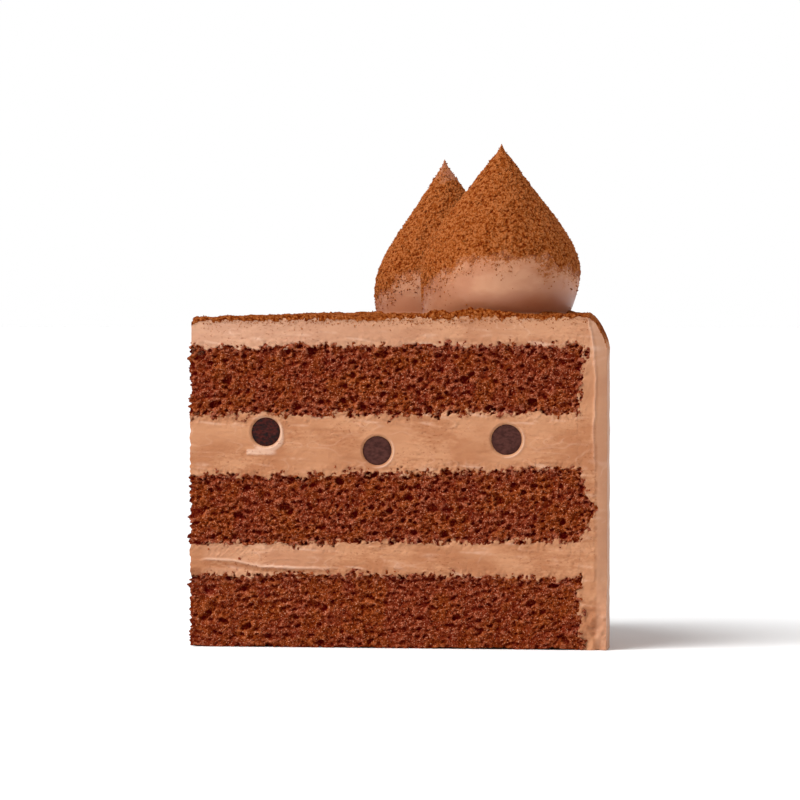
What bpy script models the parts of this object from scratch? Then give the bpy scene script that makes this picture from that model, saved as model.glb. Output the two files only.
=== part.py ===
"""A wedge-shaped slice of chocolate layer cake with two piped dollops of cream.

Three sponge sheets are stacked with two cream fillings and covered by a coat of the same cream, which
runs over the top and down the round outer wall. Chocolate balls sit in the upper filling, cut through
where the knife passed. Units are metres, +Z is up and the slice stands on z = 0. The cut face that is
seen first stands along X and faces -Y, with the slice's point at -X and its coated rim at +X.
"""

import math

import bmesh
import bpy
from mathutils import Matrix, Vector, noise

MM = 0.001
TINY = 1e-6

# The whole cake: 180 mm across and cut into six.
CAKE_RADIUS = 90 * MM
SLICE_ANGLE = math.radians(60)
POINT_BLUNT = 1.4 * MM
GAP = 0.3 * MM

# Heights of the surfaces between the layers: at the slice's point, halfway and at its rim.
SPONGE_1_TOP = (13.7 * MM, 15.4 * MM, 14.7 * MM)
FILLING_1_TOP = (21.4 * MM, 22.0 * MM, 22.7 * MM)
SPONGE_2_TOP = (35.8 * MM, 37.0 * MM, 38.2 * MM)
FILLING_2_TOP = (48.7 * MM, 48.9 * MM, 49.3 * MM)
SPONGE_3_TOP = (63.0 * MM, 63.3 * MM, 63.8 * MM)
COAT_TOP = (69.4 * MM, 69.7 * MM, 70.1 * MM)
LAYER_WAVE = 0.45 * MM
LAYER_WAVELENGTH = 9 * MM
SEEN_FACE_PLANE = 0.3
FAR_FACE_PLANE = 8.7

# Height and radius up the stack's outer edge, which bulges at the middle sheet and carries the coat.
STACK_EDGE = (
    (0 * MM, 83.4 * MM),
    (14.7 * MM, 84.1 * MM),
    (22.7 * MM, 84.0 * MM),
    (29.5 * MM, 85.7 * MM),
    (38.2 * MM, 83.2 * MM),
    (49.3 * MM, 84.2 * MM),
    (63.8 * MM, 84.7 * MM),
)

# The coat's rounded rim is a superellipse quarter. Low lumps of cocoa lie on the coat's top.
RIM_REACH = 4.2 * MM
RIM_DROP = 7.1 * MM
RIM_POWER = 1.4
TOP_LUMP = 0.55 * MM
TOP_LUMP_LENGTH = 8 * MM
DOLLOP_SURROUND = 4 * MM

# Depth of the crumbs and smears that the knife left in a cut face. They fade out at the slice's point.
CRUMB_DEPTH = 0.9 * MM
CREAM_DEPTH = 0.15 * MM
CRUMB_LENGTH = 2.3 * MM
SMOOTH_POINT = 14 * MM

# Cells of the layers: along the radius, round the slice and through the thickness.
RADIUS_CELLS = 30
TURN_CELLS = 6
SPONGE_CELLS = 5
FILLING_CELLS = 2
RIM_CELLS = 5
COAT_TURN_CELLS = 12
COAT_CELLS = 2

# Piped dollops stand on one ring round the cake's axis. Turns are from the seen cut face.
DOLLOP_RING = 67.4 * MM
DOLLOP_CLEARANCE = 0.35 * MM
DOLLOP_SEGMENTS = 24
DOLLOP_RINGS = 15
DOLLOP_FLANK = 1.5
DOLLOP_UNEVEN = 0.012
DOLLOPS = {
    "dollop_front": {
        "turn": math.radians(15),
        "height": 35.4 * MM,
        "belly": 16.7 * MM,
        "belly_height": 8.6 * MM,
        "foot": 14.7 * MM,
        "lean": Vector((0.2, 0.3, 0)) * MM,
    },
    "dollop_back": {
        "turn": math.radians(43),
        "height": 32.5 * MM,
        "belly": 15.5 * MM,
        "belly_height": 4.2 * MM,
        "foot": 15.2 * MM,
        "lean": Vector((-0.5, 0.2, 0)) * MM,
    },
}

# Chocolate balls: the cut face they show at, distance from the cake's axis, height and radius.
BALL_DEPTH = 0.6 * MM
BALL_RECESS = 0.3 * MM
BALL_SEGMENTS = 18
BALLS = {
    "chocolate_ball_1": ("seen", 17.7 * MM, 45.3 * MM, 3.05 * MM),
    "chocolate_ball_2": ("seen", 41.4 * MM, 41.5 * MM, 3.05 * MM),
    "chocolate_ball_3": ("seen", 68.8 * MM, 43.9 * MM, 3.2 * MM),
    "chocolate_ball_4": ("far", 25.5 * MM, 42.3 * MM, 3.05 * MM),
    "chocolate_ball_5": ("far", 47.5 * MM, 44.6 * MM, 3.1 * MM),
    "chocolate_ball_6": ("far", 72.5 * MM, 42.8 * MM, 3.0 * MM),
}

# Colour and roughness of each food.
SPONGE_LOOK = ((0.17, 0.032, 0.012), 0.9)
CREAM_LOOK = ((0.60, 0.30, 0.165), 0.55)
COCOA_LOOK = ((0.33, 0.095, 0.025), 0.95)
CHOCOLATE_LOOK = ((0.085, 0.035, 0.028), 0.4)
SHARP_ANGLE = math.radians(40)

# The cake's axis, placed so that the slice's bounding box is centred on the origin.
POINT_REACH = POINT_BLUNT * math.cos(SLICE_ANGLE) / math.cos(SLICE_ANGLE / 2)
AXIS = Vector((-(CAKE_RADIUS + POINT_REACH) / 2, -CAKE_RADIUS * math.sin(SLICE_ANGLE) / 2, 0))


def clear_scene():
    for old in list(bpy.data.objects):
        bpy.data.objects.remove(old, do_unlink=True)


def new_collection(name):
    made = bpy.data.collections.new(name)
    bpy.context.scene.collection.children.link(made)
    return made


def food_material(name, look):
    colour, roughness = look
    made = bpy.data.materials.new(name)
    made.use_nodes = True
    shader = made.node_tree.nodes["Principled BSDF"]
    shader.inputs["Base Color"].default_value = (*colour, 1)
    shader.inputs["Roughness"].default_value = roughness
    shader.inputs["Metallic"].default_value = 0
    return made


def mix(start, end, share):
    return start + (end - start) * share


def polar(radius, turn, height):
    """A point at this distance from the cake's axis, turned from the seen cut face."""
    return AXIS + Vector((radius * math.cos(turn), radius * math.sin(turn), height))


def point_radius(turn):
    """Distance of the slice's blunt end from the axis. The end is a straight cut across the point."""
    return POINT_BLUNT / math.cos(turn - SLICE_ANGLE / 2)


def curved_height(heights, along):
    """Height on the arc through a surface's heights at the point, halfway and at the rim."""
    point, halfway, rim = heights
    crown = halfway - (point + rim) / 2
    return mix(point, rim, along) + crown * 4 * along * (1 - along)


def layer_height(heights, along, across):
    """Height of the surface between two layers, which waves at each cut face and runs straight between."""
    reach = along * CAKE_RADIUS / LAYER_WAVELENGTH
    phase = heights[0] / MM
    seen = noise.noise(Vector((reach, phase, SEEN_FACE_PLANE)))
    far = noise.noise(Vector((reach, phase, FAR_FACE_PLANE)))
    return curved_height(heights, along) + LAYER_WAVE * mix(seen, far, across)


def edge_radius(height):
    """Radius of the stack's outer edge at a height."""
    for (low, low_radius), (high, high_radius) in zip(STACK_EDGE, STACK_EDGE[1:]):
        if height <= high:
            return mix(low_radius, high_radius, (height - low) / (high - low))
    return STACK_EDGE[-1][1]


def roughened(point, across, depth):
    """The point moved into the slice by the knife's crumbs, where it lies on a cut face."""
    if across < TINY:
        inward = Vector((0, 1, 0))
    elif across > 1 - TINY:
        inward = Vector((math.sin(SLICE_ANGLE), -math.cos(SLICE_ANGLE), 0))
    else:
        return point
    fade = min(1, (point - AXIS).to_2d().length / SMOOTH_POINT)
    return point + inward * depth * fade * fade * abs(noise.noise(point / CRUMB_LENGTH)) * 2


def divided_cube(cells):
    """A unit cube from the origin, divided into this many cells along X, Y and Z."""
    mesh = bmesh.new()
    bmesh.ops.create_cube(mesh, size=1, matrix=Matrix.Translation((0.5, 0.5, 0.5)))
    for axis, count in enumerate(cells):
        edges = [e for e in mesh.edges if abs((e.verts[1].co - e.verts[0].co)[axis]) > TINY]
        bmesh.ops.subdivide_edges(mesh, edges=edges, cuts=count - 1, use_grid_fill=True)
    return mesh


def finished(mesh, name, material, collection):
    """The object made of a bmesh, smooth where its faces meet at less than the sharp angle."""
    bmesh.ops.recalc_face_normals(mesh, faces=mesh.faces)
    data = bpy.data.meshes.new(name)
    mesh.to_mesh(data)
    mesh.free()
    data.materials.append(material)
    data.shade_smooth()
    data.set_sharp_from_angle(angle=SHARP_ANGLE)
    made = bpy.data.objects.new(name, data)
    collection.objects.link(made)
    return made


def layer(name, under, over, thickness_cells, depth, material, collection):
    """One sponge sheet or filling: a wedge between two layer surfaces, out to the stack's edge."""
    mesh = divided_cube((RADIUS_CELLS, TURN_CELLS, thickness_cells))
    for vertex in mesh.verts:
        along, across, up = vertex.co
        turn = across * SLICE_ANGLE
        low = layer_height(under, along, across) + GAP / 2 if under else 0
        high = layer_height(over, along, across) - GAP / 2
        height = mix(low, high, up)
        radius = mix(point_radius(turn), edge_radius(height) - GAP / 2, along)
        vertex.co = roughened(polar(radius, turn, height), across, depth)
    return finished(mesh, name, material, collection)


def top_lump(point):
    """Height of the cocoa's lumps at a point. They die away under the dollops, which stand level."""
    feet = [polar(DOLLOP_RING, shape["turn"], point.z) for shape in DOLLOPS.values()]
    clear = min((point - foot).length for foot in feet) - max(s["foot"] for s in DOLLOPS.values())
    share = min(1, max(0, clear / DOLLOP_SURROUND))
    return TOP_LUMP * share * noise.noise(Vector((point.x, point.y, 0)) / TOP_LUMP_LENGTH)


def rim_corner(share):
    """How far in and how far down the rim lies, as shares of its size, part of the way round it."""
    turn = share * math.pi / 2
    inset = 1 - math.sin(turn) ** (2 / RIM_POWER)
    drop = 1 - math.cos(turn) ** (2 / RIM_POWER)
    return inset, drop


def coat_on_top(along, turn, across):
    """Inner and outer point of the coat where it lies on the stack."""
    under = layer_height(SPONGE_3_TOP, along, across) + GAP / 2
    inside = polar(mix(point_radius(turn), edge_radius(under) + GAP / 2, along), turn, under)
    outer_radius = mix(point_radius(turn), CAKE_RADIUS - RIM_REACH, along)
    outside = polar(outer_radius, turn, curved_height(COAT_TOP, along))
    outside.z += top_lump(outside)
    return inside, outside


def coat_round_rim(share, turn, across):
    """Inner and outer point of the coat, part of the way round its rounded rim."""
    inset, drop = rim_corner(share)
    under = layer_height(SPONGE_3_TOP, 1, across) + GAP / 2 - share * RIM_DROP
    inside = polar(edge_radius(under) + GAP / 2, turn, under)
    outside = polar(CAKE_RADIUS - inset * RIM_REACH, turn, COAT_TOP[2] - drop * RIM_DROP)
    outside.z += top_lump(outside) * (1 - drop)
    return inside, outside


def coat_on_wall(height, turn):
    """Inner and outer point of the coat on the cake's outer wall."""
    outer_height = height * (COAT_TOP[2] - RIM_DROP) / (SPONGE_3_TOP[2] - RIM_DROP)
    return polar(edge_radius(height) + GAP / 2, turn, height), polar(CAKE_RADIUS, turn, outer_height)


def coat(material, collection):
    """The cream over the top and down the outer wall, in one bent slab."""
    wall_heights = [height for height, _ in reversed(STACK_EDGE[:-1])]
    steps = RADIUS_CELLS + RIM_CELLS + len(wall_heights)
    mesh = divided_cube((steps, COAT_TURN_CELLS, COAT_CELLS))
    for vertex in mesh.verts:
        step = round(vertex.co.x * steps)
        across, out = vertex.co.y, vertex.co.z
        turn = across * SLICE_ANGLE
        if step <= RADIUS_CELLS:
            inside, outside = coat_on_top(step / RADIUS_CELLS, turn, across)
        elif step <= RADIUS_CELLS + RIM_CELLS:
            inside, outside = coat_round_rim((step - RADIUS_CELLS) / RIM_CELLS, turn, across)
        else:
            inside, outside = coat_on_wall(wall_heights[step - RADIUS_CELLS - RIM_CELLS - 1], turn)
        vertex.co = roughened(mix(inside, outside, out), across, CREAM_DEPTH)
    return finished(mesh, "cream_coat", material, collection)


def dollop_radius(shape, height):
    """Radius of a dollop, which swells from its foot to its belly and narrows to a pulled-up tip."""
    if height < shape["belly_height"]:
        under = 1 - height / shape["belly_height"]
        return mix(shape["belly"], shape["foot"], under * under)
    up = (height - shape["belly_height"]) / (shape["height"] - shape["belly_height"])
    return shape["belly"] * (1 - up) * (1 + up * (1 - up) ** DOLLOP_FLANK)


def dollop(name, shape, material, collection):
    """A sphere drawn out into a piped dollop, with a flat foot and a tip that leans a little."""
    foot = polar(DOLLOP_RING, shape["turn"], COAT_TOP[2] + DOLLOP_CLEARANCE)
    mesh = bmesh.new()
    bmesh.ops.create_uvsphere(mesh, u_segments=DOLLOP_SEGMENTS, v_segments=DOLLOP_RINGS + 1, radius=1)
    for vertex in mesh.verts:
        spin = math.atan2(vertex.co.y, vertex.co.x)
        ring = round(math.acos(max(-1, min(1, -vertex.co.z))) / math.pi * (DOLLOP_RINGS + 1))
        share = max(0, ring - 1) / DOLLOP_RINGS
        height = share * shape["height"]
        radius = dollop_radius(shape, height) if ring > 0 else 0
        uneven = 1 + DOLLOP_UNEVEN * math.sin(2 * spin) * math.sin(math.pi * share)
        around = Vector((math.cos(spin), math.sin(spin), 0)) * radius * uneven
        vertex.co = foot + around + shape["lean"] * share ** 3 + Vector((0, 0, height))
    return finished(mesh, name, material, collection)


def cut_face(side):
    """Outward direction of a cut face and the direction along it, away from the slice's point."""
    if side == "seen":
        return Vector((0, -1, 0)), Vector((1, 0, 0))
    along = Vector((math.cos(SLICE_ANGLE), math.sin(SLICE_ANGLE), 0))
    return Vector((-along.y, along.x, 0)), along


def ball_sphere(place, clearance):
    """A ball in its place under the cut face, larger than the ball by the clearance."""
    side, distance, height, radius = place
    outward, along = cut_face(side)
    centre = AXIS + along * distance - outward * BALL_DEPTH + Vector((0, 0, height))
    mesh = bmesh.new()
    bmesh.ops.create_uvsphere(
        mesh,
        u_segments=BALL_SEGMENTS,
        v_segments=BALL_SEGMENTS // 2,
        radius=radius + clearance,
        matrix=Matrix.Translation(centre),
    )
    return mesh, centre, outward


def chocolate_ball(name, place, material, collection):
    """A ball that the knife cut flat, a little below the cream's cut face."""
    mesh, centre, outward = ball_sphere(place, 0)
    cut = bmesh.ops.bisect_plane(
        mesh,
        geom=mesh.verts[:] + mesh.edges[:] + mesh.faces[:],
        plane_co=centre + outward * (BALL_DEPTH - BALL_RECESS),
        plane_no=outward,
        clear_outer=True,
    )
    rim = [item for item in cut["geom_cut"] if isinstance(item, bmesh.types.BMEdge)]
    bmesh.ops.edgeloop_fill(mesh, edges=rim)
    return finished(mesh, name, material, collection)


def socket_cutter(name, place, material, collection):
    """A sphere a little larger than the ball, which hollows the ball's socket in the filling."""
    mesh, _, _ = ball_sphere(place, GAP)
    cutter = finished(mesh, "socket_of_" + name, material, collection)
    cutter.hide_render = True
    cutter.display_type = "WIRE"
    return cutter


def hollow_sockets(filling, cutters):
    cut = filling.modifiers.new("ball_sockets", "BOOLEAN")
    cut.operation = "DIFFERENCE"
    cut.operand_type = "COLLECTION"
    cut.collection = cutters
    cut.solver = "EXACT"


def main():
    clear_scene()
    pieces = new_collection("cake_slice")
    cutters = new_collection("cutters")
    sponge = food_material("chocolate_sponge", SPONGE_LOOK)
    cream = food_material("chocolate_cream", CREAM_LOOK)
    dusted = food_material("cocoa_dusted_cream", COCOA_LOOK)
    chocolate = food_material("dark_chocolate", CHOCOLATE_LOOK)

    layer("sponge_bottom", None, SPONGE_1_TOP, SPONGE_CELLS, CRUMB_DEPTH, sponge, pieces)
    layer("filling_lower", SPONGE_1_TOP, FILLING_1_TOP, FILLING_CELLS, CREAM_DEPTH, cream, pieces)
    layer("sponge_middle", FILLING_1_TOP, SPONGE_2_TOP, SPONGE_CELLS, CRUMB_DEPTH, sponge, pieces)
    upper = layer("filling_upper", SPONGE_2_TOP, FILLING_2_TOP, FILLING_CELLS, CREAM_DEPTH, cream, pieces)
    layer("sponge_top", FILLING_2_TOP, SPONGE_3_TOP, SPONGE_CELLS, CRUMB_DEPTH, sponge, pieces)
    coat(cream, pieces)

    for name, place in BALLS.items():
        chocolate_ball(name, place, chocolate, pieces)
        socket_cutter(name, place, cream, cutters)
    hollow_sockets(upper, cutters)
    for name, shape in DOLLOPS.items():
        dollop(name, shape, dusted, pieces)


main()
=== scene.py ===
"""Looks of one slice of chocolate layer cake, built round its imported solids.

Every sheet of sponge, filling, coat, dollop and chocolate ball is a closed mesh of its own, which takes
the place of its solid. Relief such as pores, smears and cocoa lumps is in the meshes, and the finest
grain is in the materials. Sizes are in millimetres until a mesh is made, when they become metres.
"""

import itertools
import logging
import math
from dataclasses import dataclass, field
from enum import Enum

import bmesh
import bpy
import numpy as np
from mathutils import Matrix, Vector

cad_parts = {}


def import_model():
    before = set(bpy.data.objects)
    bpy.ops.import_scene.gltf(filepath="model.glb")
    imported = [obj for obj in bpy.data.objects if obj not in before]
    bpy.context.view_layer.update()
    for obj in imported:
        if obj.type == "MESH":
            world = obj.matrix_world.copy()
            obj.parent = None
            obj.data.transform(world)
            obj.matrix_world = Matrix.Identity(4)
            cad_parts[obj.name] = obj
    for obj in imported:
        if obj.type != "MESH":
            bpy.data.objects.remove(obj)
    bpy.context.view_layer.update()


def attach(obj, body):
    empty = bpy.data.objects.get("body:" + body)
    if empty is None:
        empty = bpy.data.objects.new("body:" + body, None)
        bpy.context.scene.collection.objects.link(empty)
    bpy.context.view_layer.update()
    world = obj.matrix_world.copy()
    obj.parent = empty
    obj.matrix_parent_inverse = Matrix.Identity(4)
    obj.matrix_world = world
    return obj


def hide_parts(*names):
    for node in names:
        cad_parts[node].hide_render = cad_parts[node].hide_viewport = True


LOG = logging.getLogger("cake")
Array = np.ndarray
Number = float | np.ndarray
Triple = tuple[float, float, float]
Socket = bpy.types.NodeSocket
Colour = tuple[float, float, float, float]
# Metres in a millimetre
MM = 0.001
# Width and height of the photograph in pixels
PHOTO_SIDE = 800
# Share of cocoa above which a face takes the cocoa's own finish
DUSTY = 0.75
# Edges that turn by more degrees than this are shaded sharp
SHARP = 70
# Most that relief may cut into a face, for each millimetre from the cake's axis
POINT_RELIEF = 0.24
# How strongly painted shade turns cream brown where it shows in the sponge's pores
PORE_SHADE = 5


class Side(Enum):
    """The two cut faces of the slice."""

    SEEN = "seen"
    FAR = "far"


class Level(Enum):
    """Surfaces between the layers: heights at the slice's point, halfway and at its rim."""

    TABLE = (0.05, 0.05, 0.05)
    SPONGE_1_TOP = (14.9, 15.4, 14.6)
    FILLING_1_TOP = (21.4, 22.0, 22.7)
    SPONGE_2_TOP = (35.9, 36.9, 38.1)
    FILLING_2_TOP = (48.5, 48.8, 49.3)
    SPONGE_3_TOP = (62.9, 63.4, 63.8)
    COAT_TOP = (69.4, 69.7, 70.1)


class Food(Enum):
    """What a layer of the stack is made of."""

    SPONGE = "sponge"
    CREAM = "cream"


def mix(start: Number, end: Number, share: Number) -> Number:
    """Values part of the way from start to end."""
    return start + (end - start) * share


def smooth(value: Array, low: float, high: float) -> Array:
    """0 below low and 1 above high, with an eased step between them. High may be the smaller one."""
    share = np.clip((value - low) / (high - low), 0, 1)
    return share * share * (3 - 2 * share)


def linear(red: int, green: int, blue: int) -> Colour:
    """The linear colour of a screen colour.

    Args:
        red: the screen colour's red, from 0 to 255.
        green: its green.
        blue: its blue.

    Returns:
        The linear colour, with full cover.
    """
    screen = np.array((red, green, blue)) / 255
    light = np.where(screen <= 0.04045, screen / 12.92, ((screen + 0.055) / 1.055) ** 2.4)
    return (*light.tolist(), 1.0)


class Noise:
    """Smooth random values in space, the same on every run."""

    def __init__(self, seed: int) -> None:
        """Draws the order and the slopes of the lattice.

        Args:
            seed: number that the draws start from.
        """
        draw = np.random.default_rng(seed)
        self.order = draw.permutation(256)
        slopes = draw.normal(size=(256, 3))
        self.slopes = slopes / np.linalg.norm(slopes, axis=1, keepdims=True)

    def drawn(self, cells: list[Array], shift: tuple[int, ...]) -> Array:
        """Numbers of the slopes that belong to the lattice's points.

        Args:
            cells: the lattice's cells, one array for each axis.
            shift: steps from each cell to the point that is meant.

        Returns:
            One number for each cell.
        """
        found = 0
        for cell, step in zip(cells, shift):
            found = self.order[(found + cell + step) & 255]
        return found

    def at(self, places: Array, size: float, stretch: tuple[float, ...] = (1, 1, 1)) -> Array:
        """Values between about -1 and 1.

        Args:
            places: points in a plane or in space, with their coordinates along the last axis.
            size: distance over which the values change.
            stretch: how much longer that distance is along each axis.

        Returns:
            One value for each point.
        """
        axes = [places[..., axis] / (size * stretch[axis]) for axis in range(places.shape[-1])]
        cells = [np.floor(values).astype(np.int64) for values in axes]
        parts = [values - cell for values, cell in zip(axes, cells)]
        eases = [part ** 3 * (part * (part * 6 - 15) + 10) for part in parts]
        total = np.zeros(places.shape[:-1])
        for corner in itertools.product((0, 1), repeat=len(axes)):
            found = self.drawn(cells, corner)
            push, weight = 0, 1
            for axis, step in enumerate(corner):
                push = push + (parts[axis] - step) * self.slopes[found, axis]
                weight = weight * (eases[axis] if step else 1 - eases[axis])
            total += weight * push
        return total * 1.6

    def grains(self, places: Array, size: float) -> Array:
        """Rounded heights from 0 to 1, as of grains packed side by side.

        Args:
            places: points in a plane or in space, with their coordinates along the last axis.
            size: the grains' usual width.

        Returns:
            One value for each point: 1 at a large grain's top and 0 in the gaps.
        """
        axes = [places[..., axis] / size for axis in range(places.shape[-1])]
        cells = [np.floor(values).astype(np.int64) for values in axes]
        best = np.zeros(places.shape[:-1])
        for shift in itertools.product((-1, 0, 1), repeat=len(axes)):
            found = self.drawn(cells, shift)
            gap = 0
            for axis, step in enumerate(shift):
                gap = gap + (axes[axis] - cells[axis] - step - 0.5 - 0.42 * self.slopes[found, axis]) ** 2
            best = np.maximum(best, 1 - gap / (0.3 + 0.55 * found / 255))
        return best


@dataclass(frozen=True)
class SlicePlan:
    """Sizes and places that all the pieces share, in millimetres and radians."""

    radius: float = 90.0
    angle: float = math.radians(60)
    blunt: float = 1.4
    edge_heights: tuple[float, ...] = (0, 14.7, 22.7, 29.5, 38.2, 49.3, 63.8)
    edge_radii: tuple[float, ...] = (84.3, 84.0, 84.5, 86.6, 83.8, 83.8, 85.4)
    rim_reach: float = 4.2
    rim_drop: float = 7.1
    rim_power: float = 1.4
    dollop_ring: float = 67.4
    dollop_turns: tuple[float, float] = (math.radians(15), math.radians(43))
    dollop_foot: float = 14.9
    tip_back: tuple[float, float] = (0.1, 1.7)
    overlap: float = 1.5

    @property
    def axis(self) -> Array:
        """The cake's axis, where its slices' points would meet."""
        reach = self.blunt * math.cos(self.angle) / math.cos(self.angle / 2)
        return np.array((-(self.radius + reach) / 2, -self.radius * math.sin(self.angle) / 2, 0))

    def polar(self, distance: Array, turn: Array, height: Array) -> Array:
        """Points at these distances from the cake's axis, turns from the seen face, and heights."""
        distance, turn, height = np.broadcast_arrays(distance, turn, height)
        return self.axis + np.stack((distance * np.cos(turn), distance * np.sin(turn), height), axis=-1)

    def on_face(self, side: Side, distance: Array, height: Array, depth: Array) -> Array:
        """Points at these distances and heights along a cut face, and at these depths under it."""
        inward = self.inward(side)
        return self.polar(distance, self.turn_of(side), height) + inward * np.asarray(depth)[..., None]

    def inward(self, side: Side) -> Array:
        """The direction into the slice, square to a cut face.

        Args:
            side: the cut face.

        Returns:
            The direction, with a length of 1.
        """
        if side is Side.SEEN:
            return np.array((0.0, 1.0, 0.0))
        return np.array((math.sin(self.angle), -math.cos(self.angle), 0.0))

    def tip_distance(self, turn: Array) -> Array:
        """Distance of the slice's blunt end from the axis, further back towards the far face."""
        return self.blunt / np.cos(turn - self.angle / 2) + mix(*self.tip_back, turn / self.angle)

    def turn_of(self, side: Side) -> float:
        """The turn of a cut face from the seen one."""
        return 0.0 if side is Side.SEEN else self.angle

    def level(self, level: Level, along: Array) -> Array:
        """Heights of a surface between layers.

        Args:
            level: the surface.
            along: shares of the way from the slice's point to its rim.

        Returns:
            One height for each share.
        """
        point, halfway, rim = level.value
        crown = halfway - (point + rim) / 2
        return mix(point, rim, along) + crown * 4 * along * (1 - along)

    def edge(self, height: Array) -> Array:
        """Distances of the stack's outer edge from the axis, with its bulge eased.

        Args:
            height: heights above the table.

        Returns:
            One distance for each height.
        """
        steps = np.array(self.edge_heights)
        at = np.clip(np.searchsorted(steps, height) - 1, 0, len(steps) - 2)
        share = np.clip((height - steps[at]) / (steps[at + 1] - steps[at]), 0, 1)
        radii = np.array(self.edge_radii)
        return mix(radii[at], radii[at + 1], share * share * (3 - 2 * share))

    def round_columns(self, start: Array, end: Array, count: int) -> Array:
        """Columns of points that run round the axis from one column to another, without those two.

        Args:
            start: the column at the far cut face.
            end: the column at the seen one.
            count: how many columns lie between them.

        Returns:
            The points, in rows and columns.
        """
        shares = np.linspace(0, 1, count + 2)[1:-1][None, :]
        offsets = start - self.axis, end - self.axis
        radii = [np.hypot(offset[:, 0], offset[:, 1])[:, None] for offset in offsets]
        turns = [np.arctan2(offset[:, 1], offset[:, 0])[:, None] for offset in offsets]
        heights = mix(start[:, 2:], end[:, 2:], shares)
        return self.polar(mix(*radii, shares), mix(*turns, shares), heights)


@dataclass(frozen=True)
class BallPlace:
    """Where a chocolate ball shows in a cut face."""

    number: int
    side: Side
    distance: float
    height: float
    radius: float


BALLS = (
    BallPlace(1, Side.SEEN, 17.7, 45.3, 3.05),
    BallPlace(2, Side.SEEN, 41.4, 41.5, 3.05),
    BallPlace(3, Side.SEEN, 68.8, 43.9, 3.2),
    BallPlace(4, Side.FAR, 25.5, 42.3, 3.05),
    BallPlace(5, Side.FAR, 47.5, 44.6, 3.1),
    BallPlace(6, Side.FAR, 72.5, 42.8, 3.0),
)


@dataclass(frozen=True)
class Pores:
    """One kind of pore in a cut face.

    A whole map has count of them, with radii from smallest to largest, and up to stretch times as long as
    wide. A higher spread makes more of them small, and depth scales how deep they are.
    """

    count: int
    smallest: float
    largest: float
    stretch: float
    spread: float
    depth: float = 1.0


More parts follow.
